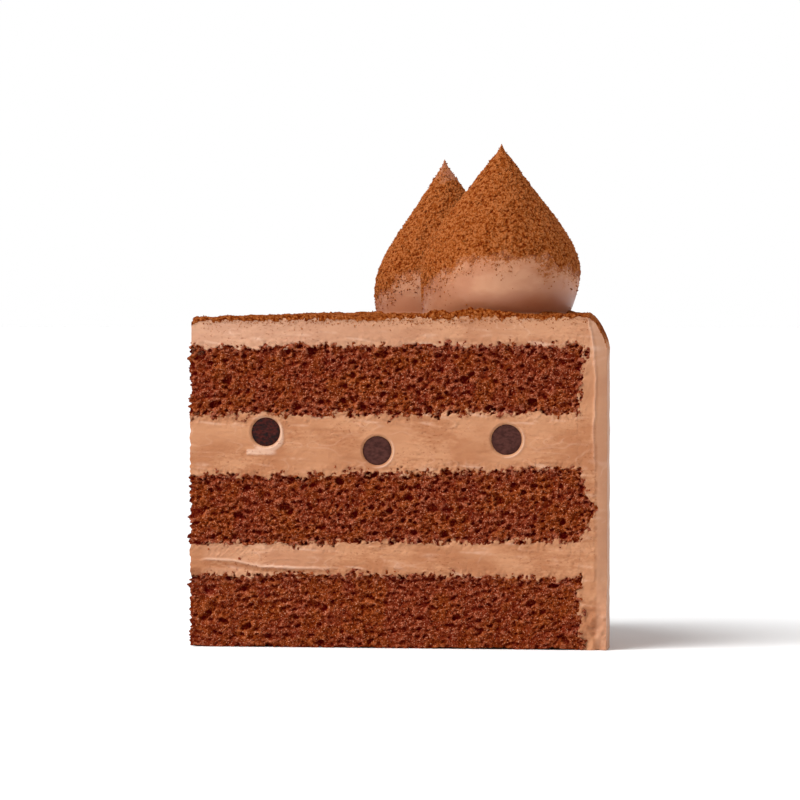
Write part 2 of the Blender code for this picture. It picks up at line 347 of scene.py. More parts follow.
@dataclass
class FaceRelief:
    """Depths of everything that shows in one cut face, as maps over distance and height.

    The ramps say how fast the sponge and the cream slope back beyond their common border. Below
    pressed_below, the sponge's pores are flattened by pressed. The ridge is a raised line down the coat's
    section, and the smear's path is where the knife dragged the lower filling.
    """

    plan: SlicePlan
    side: Side
    seed: int
    step: float = 0.1
    reach: float = 92.0
    bottom: float = -2.0
    top: float = 73.0
    sponge_ramp: float = 1.3
    cream_ramp: float = 1.4
    pressed_below: float = 15.0
    pressed: float = 1.4
    crumb_pores: tuple[Pores, ...] = (
        Pores(46000, 0.1, 0.22, 2.2, 1.2),
        Pores(4800, 0.22, 0.46, 2.2, 1.4, 0.95),
        Pores(640, 0.4, 0.95, 1.8, 1.7, 0.9),
    )
    crumb_knobs: Pores = Pores(66000, 0.08, 0.17, 2.0, 1.3)
    cream_pits: Pores = Pores(12000, 0.08, 0.2, 2.2, 1.6, 0.6)
    ridge_heights: tuple[float, ...] = (0, 41, 45.8, 50.7, 57.1, 63.4, 65.9, 68.4)
    ridge_radii: tuple[float, ...] = (87.2, 87.4, 87.1, 87.5, 87.6, 87.2, 86.8, 86.1)
    smear_distances: tuple[float, ...] = (3, 5, 10.5, 13.4, 16.5, 20.4, 27.6, 36)
    smear_heights: tuple[float, ...] = (18.0, 18.4, 18.2, 17.6, 16.9, 16.8, 16.6, 16.7)
    maps: dict[str, Array] = field(default_factory=dict)

    def __post_init__(self) -> None:
        """Works out the maps."""
        self.noise = Noise(self.seed)
        self.draw = np.random.default_rng(self.seed + 1)
        distances = np.arange(0, self.reach, self.step)
        heights = np.arange(self.bottom, self.top, self.step)
        self.distance, self.height = np.meshgrid(distances, heights, indexing="ij")
        self.places = np.stack((self.distance, self.height), axis=-1)
        self.bent_distance = self.distance + 0.28 * self.noise.at(self.places, 0.8)
        self.bent_distance += 0.18 * self.noise.at(self.places + 2, 0.36)
        self.bent_height = self.height + 0.24 * self.noise.at(self.places + 4, 0.8)
        self.bent_height += 0.16 * self.noise.at(self.places + 6, 0.34)
        self.outside = self.distance_outside_sponge()
        self.maps["crumb"] = self.crumb()
        self.maps["cavity"] = self.cavity(self.maps["crumb"])
        self.maps["cream"] = self.cream()
        # The patch map also holds the painted shade under the knife's lip
        self.maps["patch_and_painted_shade"] = self.patches_and_painted_shade
        # The smear map also holds painted highlights and painted light
        self.maps["smear"] = self.smears_and_painted_light
        self.maps["outside"] = self.outside

    def level(self, level: Level, distance: Array) -> Array:
        """Heights of a surface between layers in this face, with its waves.

        Args:
            level: the surface.
            distance: distances from the cake's axis.

        Returns:
            One height for each distance.
        """
        heights = self.plan.level(level, distance / self.plan.radius)
        if level is Level.COAT_TOP:
            return heights
        line = np.stack((distance, np.full_like(distance, level.value[0])), axis=-1)
        if level is Level.TABLE:
            dents = 0.5 * np.clip(self.noise.at(line + 3, 6), 0, 1)
            nicks = 0.9 * np.clip(self.noise.at(line, 1.2), 0, 1)
            return heights + (dents + nicks)
        return heights + 0.4 * self.noise.at(line, 11) + 0.25 * self.noise.at(line + 50, 3.2)

    def distance_outside_sponge(self) -> Array:
        """How far each place is outside the sponge, with lumps and clumps along its borders.

        Returns:
            The map of distances, which are negative inside the sponge.
        """
        sheets = (
            (Level.TABLE, Level.SPONGE_1_TOP),
            (Level.FILLING_1_TOP, Level.SPONGE_2_TOP),
            (Level.FILLING_2_TOP, Level.SPONGE_3_TOP),
        )
        edge = self.plan.edge(self.height) + 0.9 * self.noise.at(self.places, 3.4)
        nearest = np.full_like(self.distance, 99.0)
        lumps = 0.9 * (self.noise.grains(self.places, 1.7) - 0.45)
        clumps = 0.9 * (self.noise.grains(self.places + 19, 1.2) - 0.45)
        for under, over in sheets:
            low = self.level(under, self.distance) + lumps if under is not Level.TABLE else -9.0
            beyond = np.maximum(low - self.height, self.height - self.level(over, self.distance) - clumps)
            nearest = np.minimum(nearest, np.maximum(beyond, self.distance - edge - clumps))
        nearest += 0.9 * self.noise.at(self.places, 2.2) + 0.9 * self.noise.at(self.places + 31, 1.0)
        nearest += 0.8 * self.noise.at(self.places + 13, 0.45)
        for ball in BALLS:
            if ball.side is self.side:
                off = np.hypot(self.distance - ball.distance, self.height - ball.height)
                nearest = np.maximum(nearest, ball.radius + 0.6 - off)
        return nearest

    def dig(self, pores: Pores, where: Array) -> Array:
        """Depths of pores of bent outline, the deepest at each place.

        Args:
            pores: the kind of pore.
            where: true in the map at places that may hold a pore's centre.

        Returns:
            The map of depths, 0 between the pores.
        """
        dug = np.zeros_like(self.distance)
        count = pores.count
        radii = mix(pores.smallest, pores.largest, self.draw.random(count) ** pores.spread)
        centres = self.draw.random((count, 2)) * (self.reach, self.top - self.bottom)
        lifts = self.draw.uniform(-0.55, 0.75, count)
        stretches = self.draw.uniform(1, pores.stretch, count)
        tilts = self.draw.normal(0.1, 0.4, count)
        cells = np.minimum((centres / self.step).astype(int), np.array(dug.shape) - 1)
        kept = where[cells[:, 0], cells[:, 1]]
        low_down = centres[:, 1] + self.bottom < self.pressed_below
        radii = radii / np.where(low_down, math.sqrt(self.pressed), 1)
        stretches = stretches * np.where(low_down, self.pressed, 1)
        chosen = (radii, centres, lifts, stretches, tilts, cells)
        for radius, centre, lift, longer, tilt, (i, j) in zip(*(values[kept] for values in chosen)):
            half = int((radius * longer + 0.4) / self.step) + 2
            rows = slice(max(0, i - half), i + half)
            columns = slice(max(0, j - half), j + half)
            across = self.bent_distance[rows, columns] - centre[0]
            up = self.bent_height[rows, columns] - self.bottom - centre[1]
            main = (across * math.cos(tilt) + up * math.sin(tilt)) / longer
            cross = up * math.cos(tilt) - across * math.sin(tilt)
            left = radius * radius - main * main - cross * cross
            depth = np.sqrt(np.maximum(left, 0)) + np.where(left > 0, lift * radius, 0)
            np.maximum(dug[rows, columns], depth, out=dug[rows, columns])
        return pores.depth * dug

    def crumb(self) -> Array:
        """Works out the sponge's crumb: open pores of many sizes between rough knobbly walls.

        Returns:
            The map of the crumb's depths.
        """
        inside = self.outside < 1.2
        pores = np.zeros_like(self.distance)
        for kind in self.crumb_pores:
            pores = np.maximum(pores, self.dig(kind, inside))
        knobs = self.dig(self.crumb_knobs, inside)
        walls = 0.3 * self.noise.at(self.places, 3.0) + 0.24 * self.noise.at(self.places + 9, 1.2)
        walls += 0.2 * self.noise.at(self.places + 17, 0.5)
        ramp = self.sponge_ramp * np.maximum(self.outside, 0) - 0.3 * smooth(self.outside, -1.0, 0.0)
        open_share = 1 - 0.65 * smooth(self.outside, -0.7, -0.1)
        return 0.24 + walls + 1.05 * open_share * np.tanh(pores / 0.9) - knobs + ramp

    def cavity(self, depth: Array) -> Array:
        """How deep each place lies against its surroundings.

        Args:
            depth: the map of the crumb's depths.

        Returns:
            The map of values from 0 on a crest to 1 in a pore.
        """
        wide = int(1.0 / self.step)
        depth = depth - self.sponge_ramp * np.maximum(self.outside, 0)
        level = depth.copy()
        for axis in (0, 1):
            level = sum(np.roll(level, shift, axis=axis) for shift in range(-wide, wide + 1)) / (2 * wide + 1)
        return np.clip(0.45 + (depth - level), 0, 1)

    def cream(self) -> Array:
        """Works out the cut cream: knife smears, small pits, ball sockets and the coat's ridge.

        Returns:
            The map of the cream's depths. The patches and smear marks, which also hold painted light and
            shade, are worked out on the way.
        """
        slant = self.places + np.stack((0 * self.distance, 0.07 * self.distance), axis=-1)
        depth = 0.12 * self.noise.at(self.places, 5, (1.8, 1)) + 0.07 * self.noise.at(self.places + 5, 1.3)
        depth += 0.07 * self.noise.at(slant + 3, 0.7, (7, 1)) + 0.04 * self.noise.at(self.places + 8, 0.4)
        torn = smooth(self.outside, 2.2, 0.3)
        crags = 0.26 * self.noise.at(self.places + 15, 1.0) + 0.14 * self.noise.at(self.places + 19, 0.5)
        depth += torn * crags
        self.patches_and_painted_shade = smooth(self.noise.at(self.places + 77, 7, (1.6, 1)), -0.35, 0.35)
        depth += self.dig(self.cream_pits, self.outside > -0.5) * self.patches_and_painted_shade
        bent = np.stack((self.distance + 2 * self.noise.at(self.places + 33, 4), self.height), axis=-1)
        scratch = np.exp(-(self.noise.at(bent + 51, 2.0, (2.6, 1)) / 0.045) ** 2)
        scratch *= smooth(self.noise.at(self.places + 70, 5, (2, 1)), -0.1, 0.35)
        depth -= 0.06 * scratch
        strokes = self.noise.at(slant + 23, 1.0, (6, 1))
        self.smears_and_painted_light = 0.6 * smooth(strokes, 0.25, 0.75) * smooth(self.outside, 4.5, 0.5) + 0.3 * scratch
        # Painted light: the cream is paler towards the top and the slice's point
        self.smears_and_painted_light += smooth(self.height, 50, 67) * (0.12 + 0.4 * smooth(self.distance, 70, 5))
        strip = self.distance - np.interp(self.height, self.ridge_heights, self.ridge_radii)
        self.smears_and_painted_light += 0.22 * smooth(strip, 0.2, 0.8)
        depth *= 1 - 0.75 * smooth(strip, 0.2, 0.8) * smooth(self.height, 10, 18)
        self.patches_and_painted_shade *= 1 - smooth(strip, 0.2, 0.8)
        depth += self.coat_ridge() + self.low_corner()
        if self.side is Side.SEEN:
            depth += self.knife_smear()
        depth = self.with_sockets(depth)
        # Inside the sponge the cream drops away, so that it hardly shows in the pores
        under = np.maximum(-self.outside - 0.5, 0)
        return depth + self.cream_ramp * np.maximum(-self.outside - 0.1, 0) + 3.5 * np.minimum(under, 0.4)

    def coat_ridge(self) -> Array:
        """A thin raised line down the coat's section, beyond which the cream slopes back.

        Returns:
            The map of depths that it adds.
        """
        line = np.interp(self.height, self.ridge_heights, self.ridge_radii)
        line = line + 0.25 * self.noise.at(self.places + 12, 2.5)
        off = self.distance - line
        strength = smooth(self.height, 33, 47) * (0.8 + 0.5 * self.noise.at(self.places + 61, 4))
        ridge = -0.42 * strength * np.exp(-(off / 0.22) ** 2)
        slope = (0.16 * smooth(off, 0.0, 0.35) + 1.4 * smooth(off, 0.1, 3.8)) * smooth(self.height, 8, 16)
        torn = smooth(np.abs(off), 1.0, 0.1) * smooth(self.height, 44, 34)
        self.smears_and_painted_light += strength * np.exp(-(off / 0.24) ** 2) * 0.5
        return ridge + slope + 0.28 * torn * self.noise.at(self.places + 41, 0.9)

    def low_corner(self) -> Array:
        """Rough broken cream where the coat's section meets the table.

        Returns:
            The map of depths that it adds.
        """
        part = smooth(self.height, 13, 5) * smooth(self.distance, 82.5, 85.5)
        coarse = np.abs(self.noise.at(self.places + 25, 3.1))
        coarse += 0.5 * np.abs(self.noise.at(self.places + 26, 1.2))
        return part * (1.3 * coarse - 0.25)

    def knife_smear(self) -> Array:
        """A lip of cream that the knife dragged along the lower filling, paler with a painted highlight, and
        a sunken band under it with painted shade.

        Faint arcs lie beyond the lip, and slanted drag marks above it.

        Returns:
            The map of depths that they add.
        """
        in_filling = self.height < 26
        line = np.interp(self.distance, self.smear_distances, self.smear_heights)
        line = line + 0.12 * self.noise.at(self.places * (1, 0), 2.2)
        strength = smooth(self.distance, 3.0, 6) * smooth(self.distance, 37, 24)
        above = self.height - line
        thick = mix(1.4, 0.7, smooth(self.distance, 8, 20))
        band = smooth(above, 0.05, -0.25) * smooth(above, -thick - 0.4, -thick)
        lip = -0.24 * np.exp(-((above - 0.12) / 0.26) ** 2)
        # Painted highlight along the lip, and paler cream above and below the band so that it looks darker
        self.smears_and_painted_light += 0.7 * strength * np.exp(-((above - 0.14) / 0.24) ** 2)
        self.smears_and_painted_light += 0.15 * strength * (1 - band) * smooth(np.abs(self.height - 18.4), 4.2, 3.2)
        blotch = np.hypot(self.distance - 2.8, (self.height - 15.9) / 0.8)
        blotch += 0.8 * self.noise.at(self.places + 35, 1.2)
        # Painted shade: the band under the lip takes the pit colour, as does a dark blotch at its left end
        self.patches_and_painted_shade += 3.0 * np.maximum(0.7 * strength * band, smooth(blotch, 1.6, 0.9))
        arc = np.hypot((self.distance - 22.3) / 1.9, self.height - 14.6) - 4.1
        arcs = -0.1 * np.exp(-(arc / 0.18) ** 2) * smooth(self.distance, 16, 18)
        slanted = np.stack((self.distance + self.height, self.height - self.distance), axis=-1)
        drag = 0.16 * self.noise.at(slanted, 0.55, (6, 1)) * smooth(np.abs(self.distance - 10), 6, 3.5)
        drag *= smooth(above, 0.3, 1.0) * smooth(self.outside, 0.2, 1.0) * in_filling
        arcs *= in_filling
        return strength * (lip + 0.1 * band + arcs + drag)

    def with_sockets(self, depth: Array) -> Array:
        """Adds the sockets that the chocolate balls sit in, and the lips round them.

        The first ball's socket is filled on one side by a crescent of cream with a short tail.

        Args:
            depth: the map of the cream's depths.

        Returns:
            The map with the sockets.
        """
        for ball in BALLS:
            if ball.side is not self.side:
                continue
            across = self.distance - ball.distance
            up = self.height - ball.height
            off = np.hypot(across, up) - ball.radius
            toward = np.arctan2(up, across)
            filled = 0.8 * (ball.number == 1) * smooth(np.cos(toward + 1.0), 0.1, 0.7)
            wall = (0.3 - 0.3 * filled) * smooth(off, 0.46, 0.08) + 1.5 * smooth(off, 0.04, -0.3)
            lower = smooth(np.cos(toward + 0.5), 0.1, 0.8)
            lip = -0.13 * np.exp(-((off - 0.55) / 0.17) ** 2)
            depth = depth * smooth(off, 0.4, 1.6) + wall + lip * (0.3 + lower)
            # Painted highlight: the lip round a ball is paler on its lower side
            self.smears_and_painted_light += (0.05 + 0.85 * lower) * np.exp(-((off - 0.52) / 0.17) ** 2)
            if ball.number == 1:
                waver = 0.3 * self.noise.at(self.places + 27, 1.1)
                wide = mix(0.2, 0.62, smooth(np.cos(toward + 1.3), 0.1, 0.9)) + 0.15 * waver
                bank = np.exp(-((off - 0.1 - wide) / wide) ** 4) * smooth(np.cos(toward + 0.8), -0.1, 0.5)
                tail = np.exp(-((self.height - 41.1 - 0.3 * waver) / 0.55) ** 4)
                tail = tail * smooth(self.distance + waver, 13.3, 14.0) * smooth(self.distance, 20.4, 18.6)
                depth -= 0.15 * np.maximum(bank, tail)
                self.smears_and_painted_light += 1.3 * np.maximum(0.8 * bank, tail)
        self.smears_and_painted_light = np.clip(self.smears_and_painted_light, 0, 1)
        return depth

    def read(self, name: str, distance: Array, height: Array) -> Array:
        """Values of a map at any places in the face.

        Args:
            name: the map's name.
            distance: distances from the cake's axis along the face.
            height: heights above the table.

        Returns:
            One value for each place, read between the map's own places.
        """
        found = self.maps[name]
        row = np.clip(distance / self.step, 0, found.shape[0] - 1.001)
        column = np.clip((height - self.bottom) / self.step, 0, found.shape[1] - 1.001)
        i, j = row.astype(int), column.astype(int)
        u, v = row - i, column - j
        low = mix(found[i, j], found[i + 1, j], u)
        high = mix(found[i, j + 1], found[i + 1, j + 1], u)
        return mix(low, high, v)

    def patch_and_pore_shade(self, distance: Array, height: Array) -> Array:
        """How rough the cream is, from 0 to 1, with painted shade added where it shows in the sponge's pores.
        """
        outside = self.read("outside", distance, height)
        return self.read("patch_and_painted_shade", distance, height) + PORE_SHADE * smooth(outside, 0.15, -0.3)


def ring_mesh(name: str, points: Array, tones: Array, *finishes: bpy.types.Material) -> bpy.types.Object:
    """A closed skin over rows of points.

    Args:
        name: the new object's name.
        points: rows, columns and coordinates in millimetres. Each row is a ring.
        tones: three values for each point, kept for the material in the colour attribute "tone".
        finishes: the object's material, and the one for its dusty faces if it has any.

    Returns:
        The new object, whose first and last ring are closed by one face each.
    """
    rows, columns, _ = points.shape
    index = np.arange(rows * columns).reshape(rows, columns)
    first, second = points[rows // 2], np.roll(points[rows // 2], -1, axis=0)
    turns_left = (first[:, 0] * second[:, 1] - first[:, 1] * second[:, 0]).sum() > 0
    flat = np.abs(np.diff(points[rows // 2 : rows // 2 + 2, :, 2], axis=0)).mean() < 1e-6
    rising = points[-1, :, 2].mean() > points[0, :, 2].mean()
    if not flat and turns_left != rising:
        index = index[:, ::-1]
    beside = np.roll(index, -1, axis=1)
    quads = np.stack((index[:-1], beside[:-1], beside[1:], index[1:]), axis=-1).reshape(-1, 4)
    faces = [*quads.tolist(), index[0, ::-1].tolist(), index[-1].tolist()]
    return made_object(name, points.reshape(-1, 3), faces, tones.reshape(-1, 3), *finishes)


def made_object(
    name: str, points: Array, faces: list[list[int]], tones: Array, *finishes: bpy.types.Material
) -> bpy.types.Object:
    """A smooth-shaded object of the given faces.

    Args:
        name: the new object's name.
        points: points in millimetres.
        faces: lists of point numbers.
        tones: three values for each point, the last of which says how dusty it is.
        finishes: the object's material, and the one for its dusty faces if it has any.

    Returns:
        The new object, linked to the scene.
    """
    mesh = bpy.data.meshes.new(name)
    mesh.from_pydata((points * MM).tolist(), [], faces)
    tone = mesh.color_attributes.new("tone", "FLOAT_COLOR", "POINT")
    tone.data.foreach_set("color", np.column_stack((tones, np.ones(len(tones)))).astype(np.float32).ravel())
    shape = bmesh.new()
    shape.from_mesh(mesh)
    bmesh.ops.recalc_face_normals(shape, faces=shape.faces)
    shape.to_mesh(mesh)
    shape.free()
    for finish in finishes:
        mesh.materials.append(finish)
    if len(finishes) > 1:
        dusty = [int(tones[face[0], 2] > DUSTY) for face in faces]
        mesh.polygons.foreach_set("material_index", dusty)
    mesh.shade_smooth()
    mesh.set_sharp_from_angle(angle=math.radians(SHARP))
    made = bpy.data.objects.new(name, mesh)
    bpy.context.scene.collection.objects.link(made)
    return made


def settle(piece: bpy.types.Object, slot: str, *nodes: str) -> None:
    """Lets a piece ride on the slice, in the place of its solids, and reports it.

    Args:
        piece: the finished piece.
        slot: the record's material slot; not used.
        nodes: names of the solids that it replaces.
    """
    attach(piece, "root")
    if nodes:
        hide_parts(*nodes)
    LOG.info("%s: %d faces", piece.name, len(piece.data.polygons))


@dataclass
class Layer:
    """One sponge sheet or cream filling of the stack.

    Spacing is the distance between the mesh's points. The blunt end is worn by tip_wear, by noise that is
    read along wear_line, and it follows the border between sponge and cream at border_line. Both lines are
    distances from the cake's axis.
    """

    plan: SlicePlan
    node: str
    food: Food
    under: Level
    over: Level
    spacing: float
    tip_columns: int = 5
    rim_columns: int = 44
    tip_wear: float = 0.45
    wear_line: float = 0.23
    border_line: float = 2.5

    def build(
        self, faces: dict[Side, FaceRelief], material: bpy.types.Material, slot: str
    ) -> bpy.types.Object:
        """Makes the layer in the place of its solid.

        Args:
            faces: the reliefs of the two cut faces.
            material: the layer's finish.
            slot: the record's material slot of the layer.

        Returns:
            The finished piece.
        """
        columns = int(self.plan.radius / self.spacing)
        height = max(self.over.value) - min(self.under.value) + 2 * self.plan.overlap
        rows = int(height / self.spacing)
        along = np.linspace(0, 1, columns)[None, :]
        up = np.linspace(0, 1, rows)[:, None]
        seen, seen_tones, seen_tip = self.section(faces[Side.SEEN], along[:, ::-1], up)
        far, far_tones, far_tip = self.section(faces[Side.FAR], along, up)
        blunt = self.between(seen_tip, far_tip, self.tip_columns)
        if self.food is Food.SPONGE:
            noise = faces[Side.SEEN].noise
            worn = 0.9 * noise.at(blunt, 0.75) + 0.5 * noise.at(blunt + 5, 2.0)
            half = self.plan.angle / 2
            blunt = blunt + worn[..., None] * np.array((math.cos(half), math.sin(half), 0))
        rim = self.plan.round_columns(far[:, -1], seen[:, 0], self.rim_columns)
        plain = np.array((0.5, 0, 0.5))
        blunt_tones, rim_tones = np.broadcast_to(plain, blunt.shape), np.broadcast_to(plain, rim.shape)
        points = np.concatenate((seen, blunt, far, rim), axis=1)
        tones = np.concatenate((seen_tones, blunt_tones, far_tones, rim_tones), axis=1)
        piece = ring_mesh(self.node + "_skin", points, tones, material)
        settle(piece, slot, self.node)
        return piece

    def section(self, face: FaceRelief, along: Array, up: Array) -> tuple[Array, Array, Array]:
        """The layer's points in one cut face.

        Args:
            face: the face's relief.
            along: shares of the way from the slice's point to its rim, one for each column.
            up: shares of the way up the layer, one for each row.

        Returns:
            The points, their tones, and the column of points at the slice's blunt end.
        """
        plan = self.plan
        nominal = along * plan.radius
        low = face.level(self.under, nominal) - plan.overlap * (self.under is not Level.TABLE)
        high = face.level(self.over, nominal) + plan.overlap
        height = mix(low, high, up)
        line = np.stack((np.full_like(height, self.wear_line), height), axis=-1)
        wear = self.tip_wear * face.noise.at(line, 1.6) + 0.7 * self.tip_wear * face.noise.at(line, 0.63)
        beyond = face.read("outside", np.full_like(height, self.border_line), height)
        if self.food is Food.SPONGE:
            wear = 1.2 * wear - 0.15 + 0.45 * face.noise.at(line + 8.2, 0.47) + 1.3 * np.clip(beyond, 0, 2)
        else:
            wear = 0.6 * wear - 0.2 + 1.3 * np.clip(-beyond - 0.1, 0, 2)
        start = plan.tip_distance(plan.turn_of(face.side)) + wear
        distance = mix(start, plan.edge(height) + plan.overlap, along)
        if self.food is Food.SPONGE:
            depth = face.read("crumb", distance, height)
        else:
            depth = face.read("cream", distance, height)
            depth = depth + face.cream_ramp * np.maximum(distance - plan.edge(height), 0)
        depth = np.minimum(depth, POINT_RELIEF * distance)
        tones = self.tones(face, distance, height)
        points = plan.on_face(face.side, distance, height, depth)
        tip = np.argmin(along[0])
        return points, tones, points[:, tip]

    def tones(self, face: FaceRelief, distance: Array, height: Array) -> Array:
        """Values for the material at places in a cut face.

        Args:
            face: the face's relief.
            distance: distances from the cake's axis.
            height: heights above the table.

        Returns:
            For sponge: cavity, nearness to cream, and 0. For cream: roughness with painted shade, smear with
                painted light, and 0.
        """
        if self.food is Food.SPONGE:
            near = smooth(face.read("outside", distance, height), -2.4, 0.1)
            return np.stack((face.read("cavity", distance, height), near, np.zeros_like(near)), axis=-1)
        patch_and_pore_shade = face.patch_and_pore_shade(distance, height)
        return np.stack((patch_and_pore_shade, face.read("smear", distance, height), np.zeros_like(patch_and_pore_shade)), axis=-1)

    def between(self, start: Array, end: Array, count: int) -> Array:
        """Columns of points that run straight from one column to another, without those two."""
        shares = np.linspace(0, 1, count + 2)[1:-1][None, :, None]
        return mix(start[:, None, :], end[:, None, :], shares)


@dataclass
class Coat:
    """The cream over the top and down the outer wall, with the cocoa that lies on it.

    The outside's columns start set_back (in radians) from the cut faces. Each mound is a heap of cocoa at
    the seen face's edge, given by its distance from the axis, its width and its rise. The section reaches
    lap over the layers inside it, and lies under_filling deeper than they do.
    """

    plan: SlicePlan
    top_columns: int = 340
    rim_rows: int = 40
    wall_rows: int = 190
    section_columns: int = 38
    turn_columns: int = 190
    inner_columns: int = 16
    cocoa_depth: float = 0.55
    set_back: float = 0.0185
    tip_short: float = 0.1
    mounds: tuple[tuple[float, float, float], ...] = ((62.5, 5.0, 1.9), (54.5, 4.0, 0.9), (24.0, 5.0, 0.6))
    lap: float = 0.35
    under_filling: float = 0.012
    lump_noise: Noise = field(default_factory=lambda: Noise(71))

    def lump(self, points: Array) -> Array:
        """Heights of the cocoa's lumps on the coat's top, with a bank round each dollop's foot.

        Args:
            points: points on the top, in millimetres.

        Returns:
            One height for each point.
        """
        noise = self.lump_noise
        flat = points[..., :2]
        high = 0.5 * noise.at(flat, 7.0) + 0.34 * noise.at(flat + 40, 2.6) + 0.16 * noise.at(flat + 80, 1.1)
        high += 0.16 * (noise.grains(flat, 0.8) - 0.5) + 0.1 * (noise.grains(flat + 5, 0.5) - 0.5)
        clear = np.full(points.shape[:-1], 99.0)
        for turn in self.plan.dollop_turns:
            foot = self.plan.polar(self.plan.dollop_ring, turn, 0)
            away = np.hypot(points[..., 0] - foot[0], points[..., 1] - foot[1])
            clear = np.minimum(clear, away - self.plan.dollop_foot)
        bank = 0.75 * np.exp(-(np.maximum(clear, 0) / 1.3) ** 2)
        bank = bank * smooth(noise.at(flat + 60, 4.5), -0.35, 0.45)
        along, away = points[..., 0] - self.plan.axis[0], points[..., 1] - self.plan.axis[1]
        for place, wide, rise in self.mounds:
            lumpy = rise * (1 + 0.5 * noise.at(flat + 71, 1.3))
            bank = np.maximum(bank, lumpy * np.exp(-(((along - place) / wide) ** 2) - (away / 3.2) ** 2))
        return high * smooth(clear, -1, 3) + bank

    def outer(self, turn: Array) -> tuple[Array, Array]:
        """Works out the coat's outside before its lumps: along the top, round the rim and down the wall.

        Args:
            turn: turns from the seen cut face, one for each column.

        Returns:
            Distances from the axis and heights, in rows of stations.
        """
        plan = self.plan
        share = np.linspace(0, 1, self.top_columns)[:, None]
        top_distance = mix(plan.tip_distance(turn) + self.tip_short, plan.radius - plan.rim_reach, share)
        worn = smooth(top_distance, plan.blunt + 3.6, plan.blunt)
        top_height = plan.level(Level.COAT_TOP, share) - 1.3 * worn + 0 * turn
        bend = np.linspace(0, math.pi / 2, self.rim_rows + 1)[1:, None]
        power = 2 / plan.rim_power
        rim_distance = plan.radius - plan.rim_reach * (1 - np.sin(bend) ** power) + 0 * turn
        rim_height = Level.COAT_TOP.value[2] - plan.rim_drop * (1 - np.cos(bend) ** power) + 0 * turn
        down = np.linspace(1, 0, self.wall_rows + 1)[1:, None]
        wall_height = mix(Level.TABLE.value[2], rim_height[-1:], down)
        wall_distance = np.full_like(wall_height, plan.radius)
        distance = np.concatenate((top_distance, rim_distance, wall_distance))
        return distance, np.concatenate((top_height, rim_height, wall_height))

    def inner(self, face: FaceRelief) -> tuple[Array, Array]:
        """Works out the inner side of the coat's section in one cut face.

        Args:
            face: the face's relief.

        Returns:
            Distances from the axis and heights, one for each station of the outside.
        """
        plan = self.plan
        share = np.linspace(0, 1, self.top_columns)
        corner = plan.edge(np.array(Level.SPONGE_3_TOP.value[2])) - plan.overlap
        top_distance = mix(plan.tip_distance(plan.turn_of(face.side)) + self.tip_short, corner, share)
        top_height = face.level(Level.SPONGE_3_TOP, top_distance) - plan.overlap
        low = mix(top_height[-1], top_height[-1] - plan.rim_drop, np.linspace(0, 1, self.rim_rows + 1)[1:])
        wall = mix(Level.TABLE.value[2], low[-1], np.linspace(1, 0, self.wall_rows + 1)[1:])
        height = np.concatenate((top_height, low, wall))
        down = height[self.top_columns:]
        distance = np.concatenate((top_distance, plan.edge(down) - plan.overlap))
        return distance, height

    def skin(self) -> tuple[Array, Array]:
        """Works out the outside, from the seen face to the far one.

        Returns:
            The points and their tones: shade, 0 and share of cocoa.
        """
        plan = self.plan
        turn = np.linspace(self.set_back, plan.angle - self.set_back, self.turn_columns)
        turn = np.concatenate(((0,), turn, (plan.angle,)))[None, :]
        distance, height = self.outer(turn)
        points = plan.polar(distance, turn, height)
        on_top = smooth(height, 60.5, 66.5)
        wall = 0.07 * self.lump_noise.at(points, 9, (1, 1, 0.35)) + 0.03 * self.lump_noise.at(points, 2.5)
        outward = np.stack((np.cos(turn), np.sin(turn), 0 * turn), axis=-1)
        points = points + outward * ((1 - on_top) * wall - 0.1 * (1 - on_top))[..., None]
        points[..., 2] += on_top * self.lump(points)
        ragged = 2.2 * self.lump_noise.at(points, 2.6) + 1.4 * self.lump_noise.at(points, 0.9)
        dust = smooth(height + ragged, 61.0, 67.5)
        heap = self.lump_noise.grains(points[..., :2], 0.8)
        shade = np.clip(0.9 - 0.7 * heap + 0.35 * self.lump_noise.at(points + 90, 3.0), 0, 1) * dust
        return points, np.stack((shade, np.zeros_like(dust), dust), axis=-1)

    def section(self, face: FaceRelief, edge: Array) -> tuple[Array, Array]:
        """Points and tones of the coat's section in one cut face.

        Args:
            face: the face's relief.
            edge: the outside's points along this face, one for each station.

        Returns:
            Rows of stations by columns from the inner side to the outer one.
        """
        plan = self.plan
        inner_distance, inner_height = self.inner(face)
        offset = edge - plan.axis
        outer_distance = np.hypot(offset[:, 0], offset[:, 1])
        outer_height = offset[:, 2]
        share = np.linspace(0, 1, self.section_columns)[None, :]
        distance = mix(inner_distance[:, None], outer_distance[:, None], share)
        height = mix(inner_height[:, None], outer_height[:, None], share)
        depth = face.read("cream", distance, height)
        stack_top = face.level(Level.SPONGE_3_TOP, distance)
        inside = np.minimum(plan.edge(height) - distance, stack_top - height)
        depth = depth + face.cream_ramp * np.maximum(inside - self.lap, 0) + self.under_filling * (inside > 0)
        places = np.stack((distance, height), axis=-1)
        within = np.hypot(outer_distance[:, None] - distance, outer_height[:, None] - height)
        ragged = 0.45 * face.noise.at(places, 1.6) + 0.3 * face.noise.at(places + 3, 0.7)
        on_top = smooth(outer_height, 61, 66)[:, None]
        thick = mix(2.1, 0.7, smooth(outer_distance[:, None], 82, 86)) * self.cocoa_depth
        lump = outer_height - plan.level(Level.COAT_TOP, np.clip(outer_distance / plan.radius, 0, 1))
        thick = thick + 1.2 * np.clip(lump, 0, 2)[:, None]
        dust = on_top * smooth(within + ragged * thick, thick, 0.3 * thick)
        heap = 0.5 * face.noise.grains(places, 0.75) + 0.5 * face.noise.grains(places + 7, 0.45)
        depth = depth - dust * (0.06 + 0.3 * (heap - 0.4))
        depth = np.minimum(depth, POINT_RELIEF * distance)
        shade = mix(face.patch_and_pore_shade(distance, height), np.clip(1.35 - 1.4 * heap, 0, 1), dust)
        smear = face.read("smear", distance, height)
        return plan.on_face(face.side, distance, height, depth), np.stack((shade, smear, dust), axis=-1)

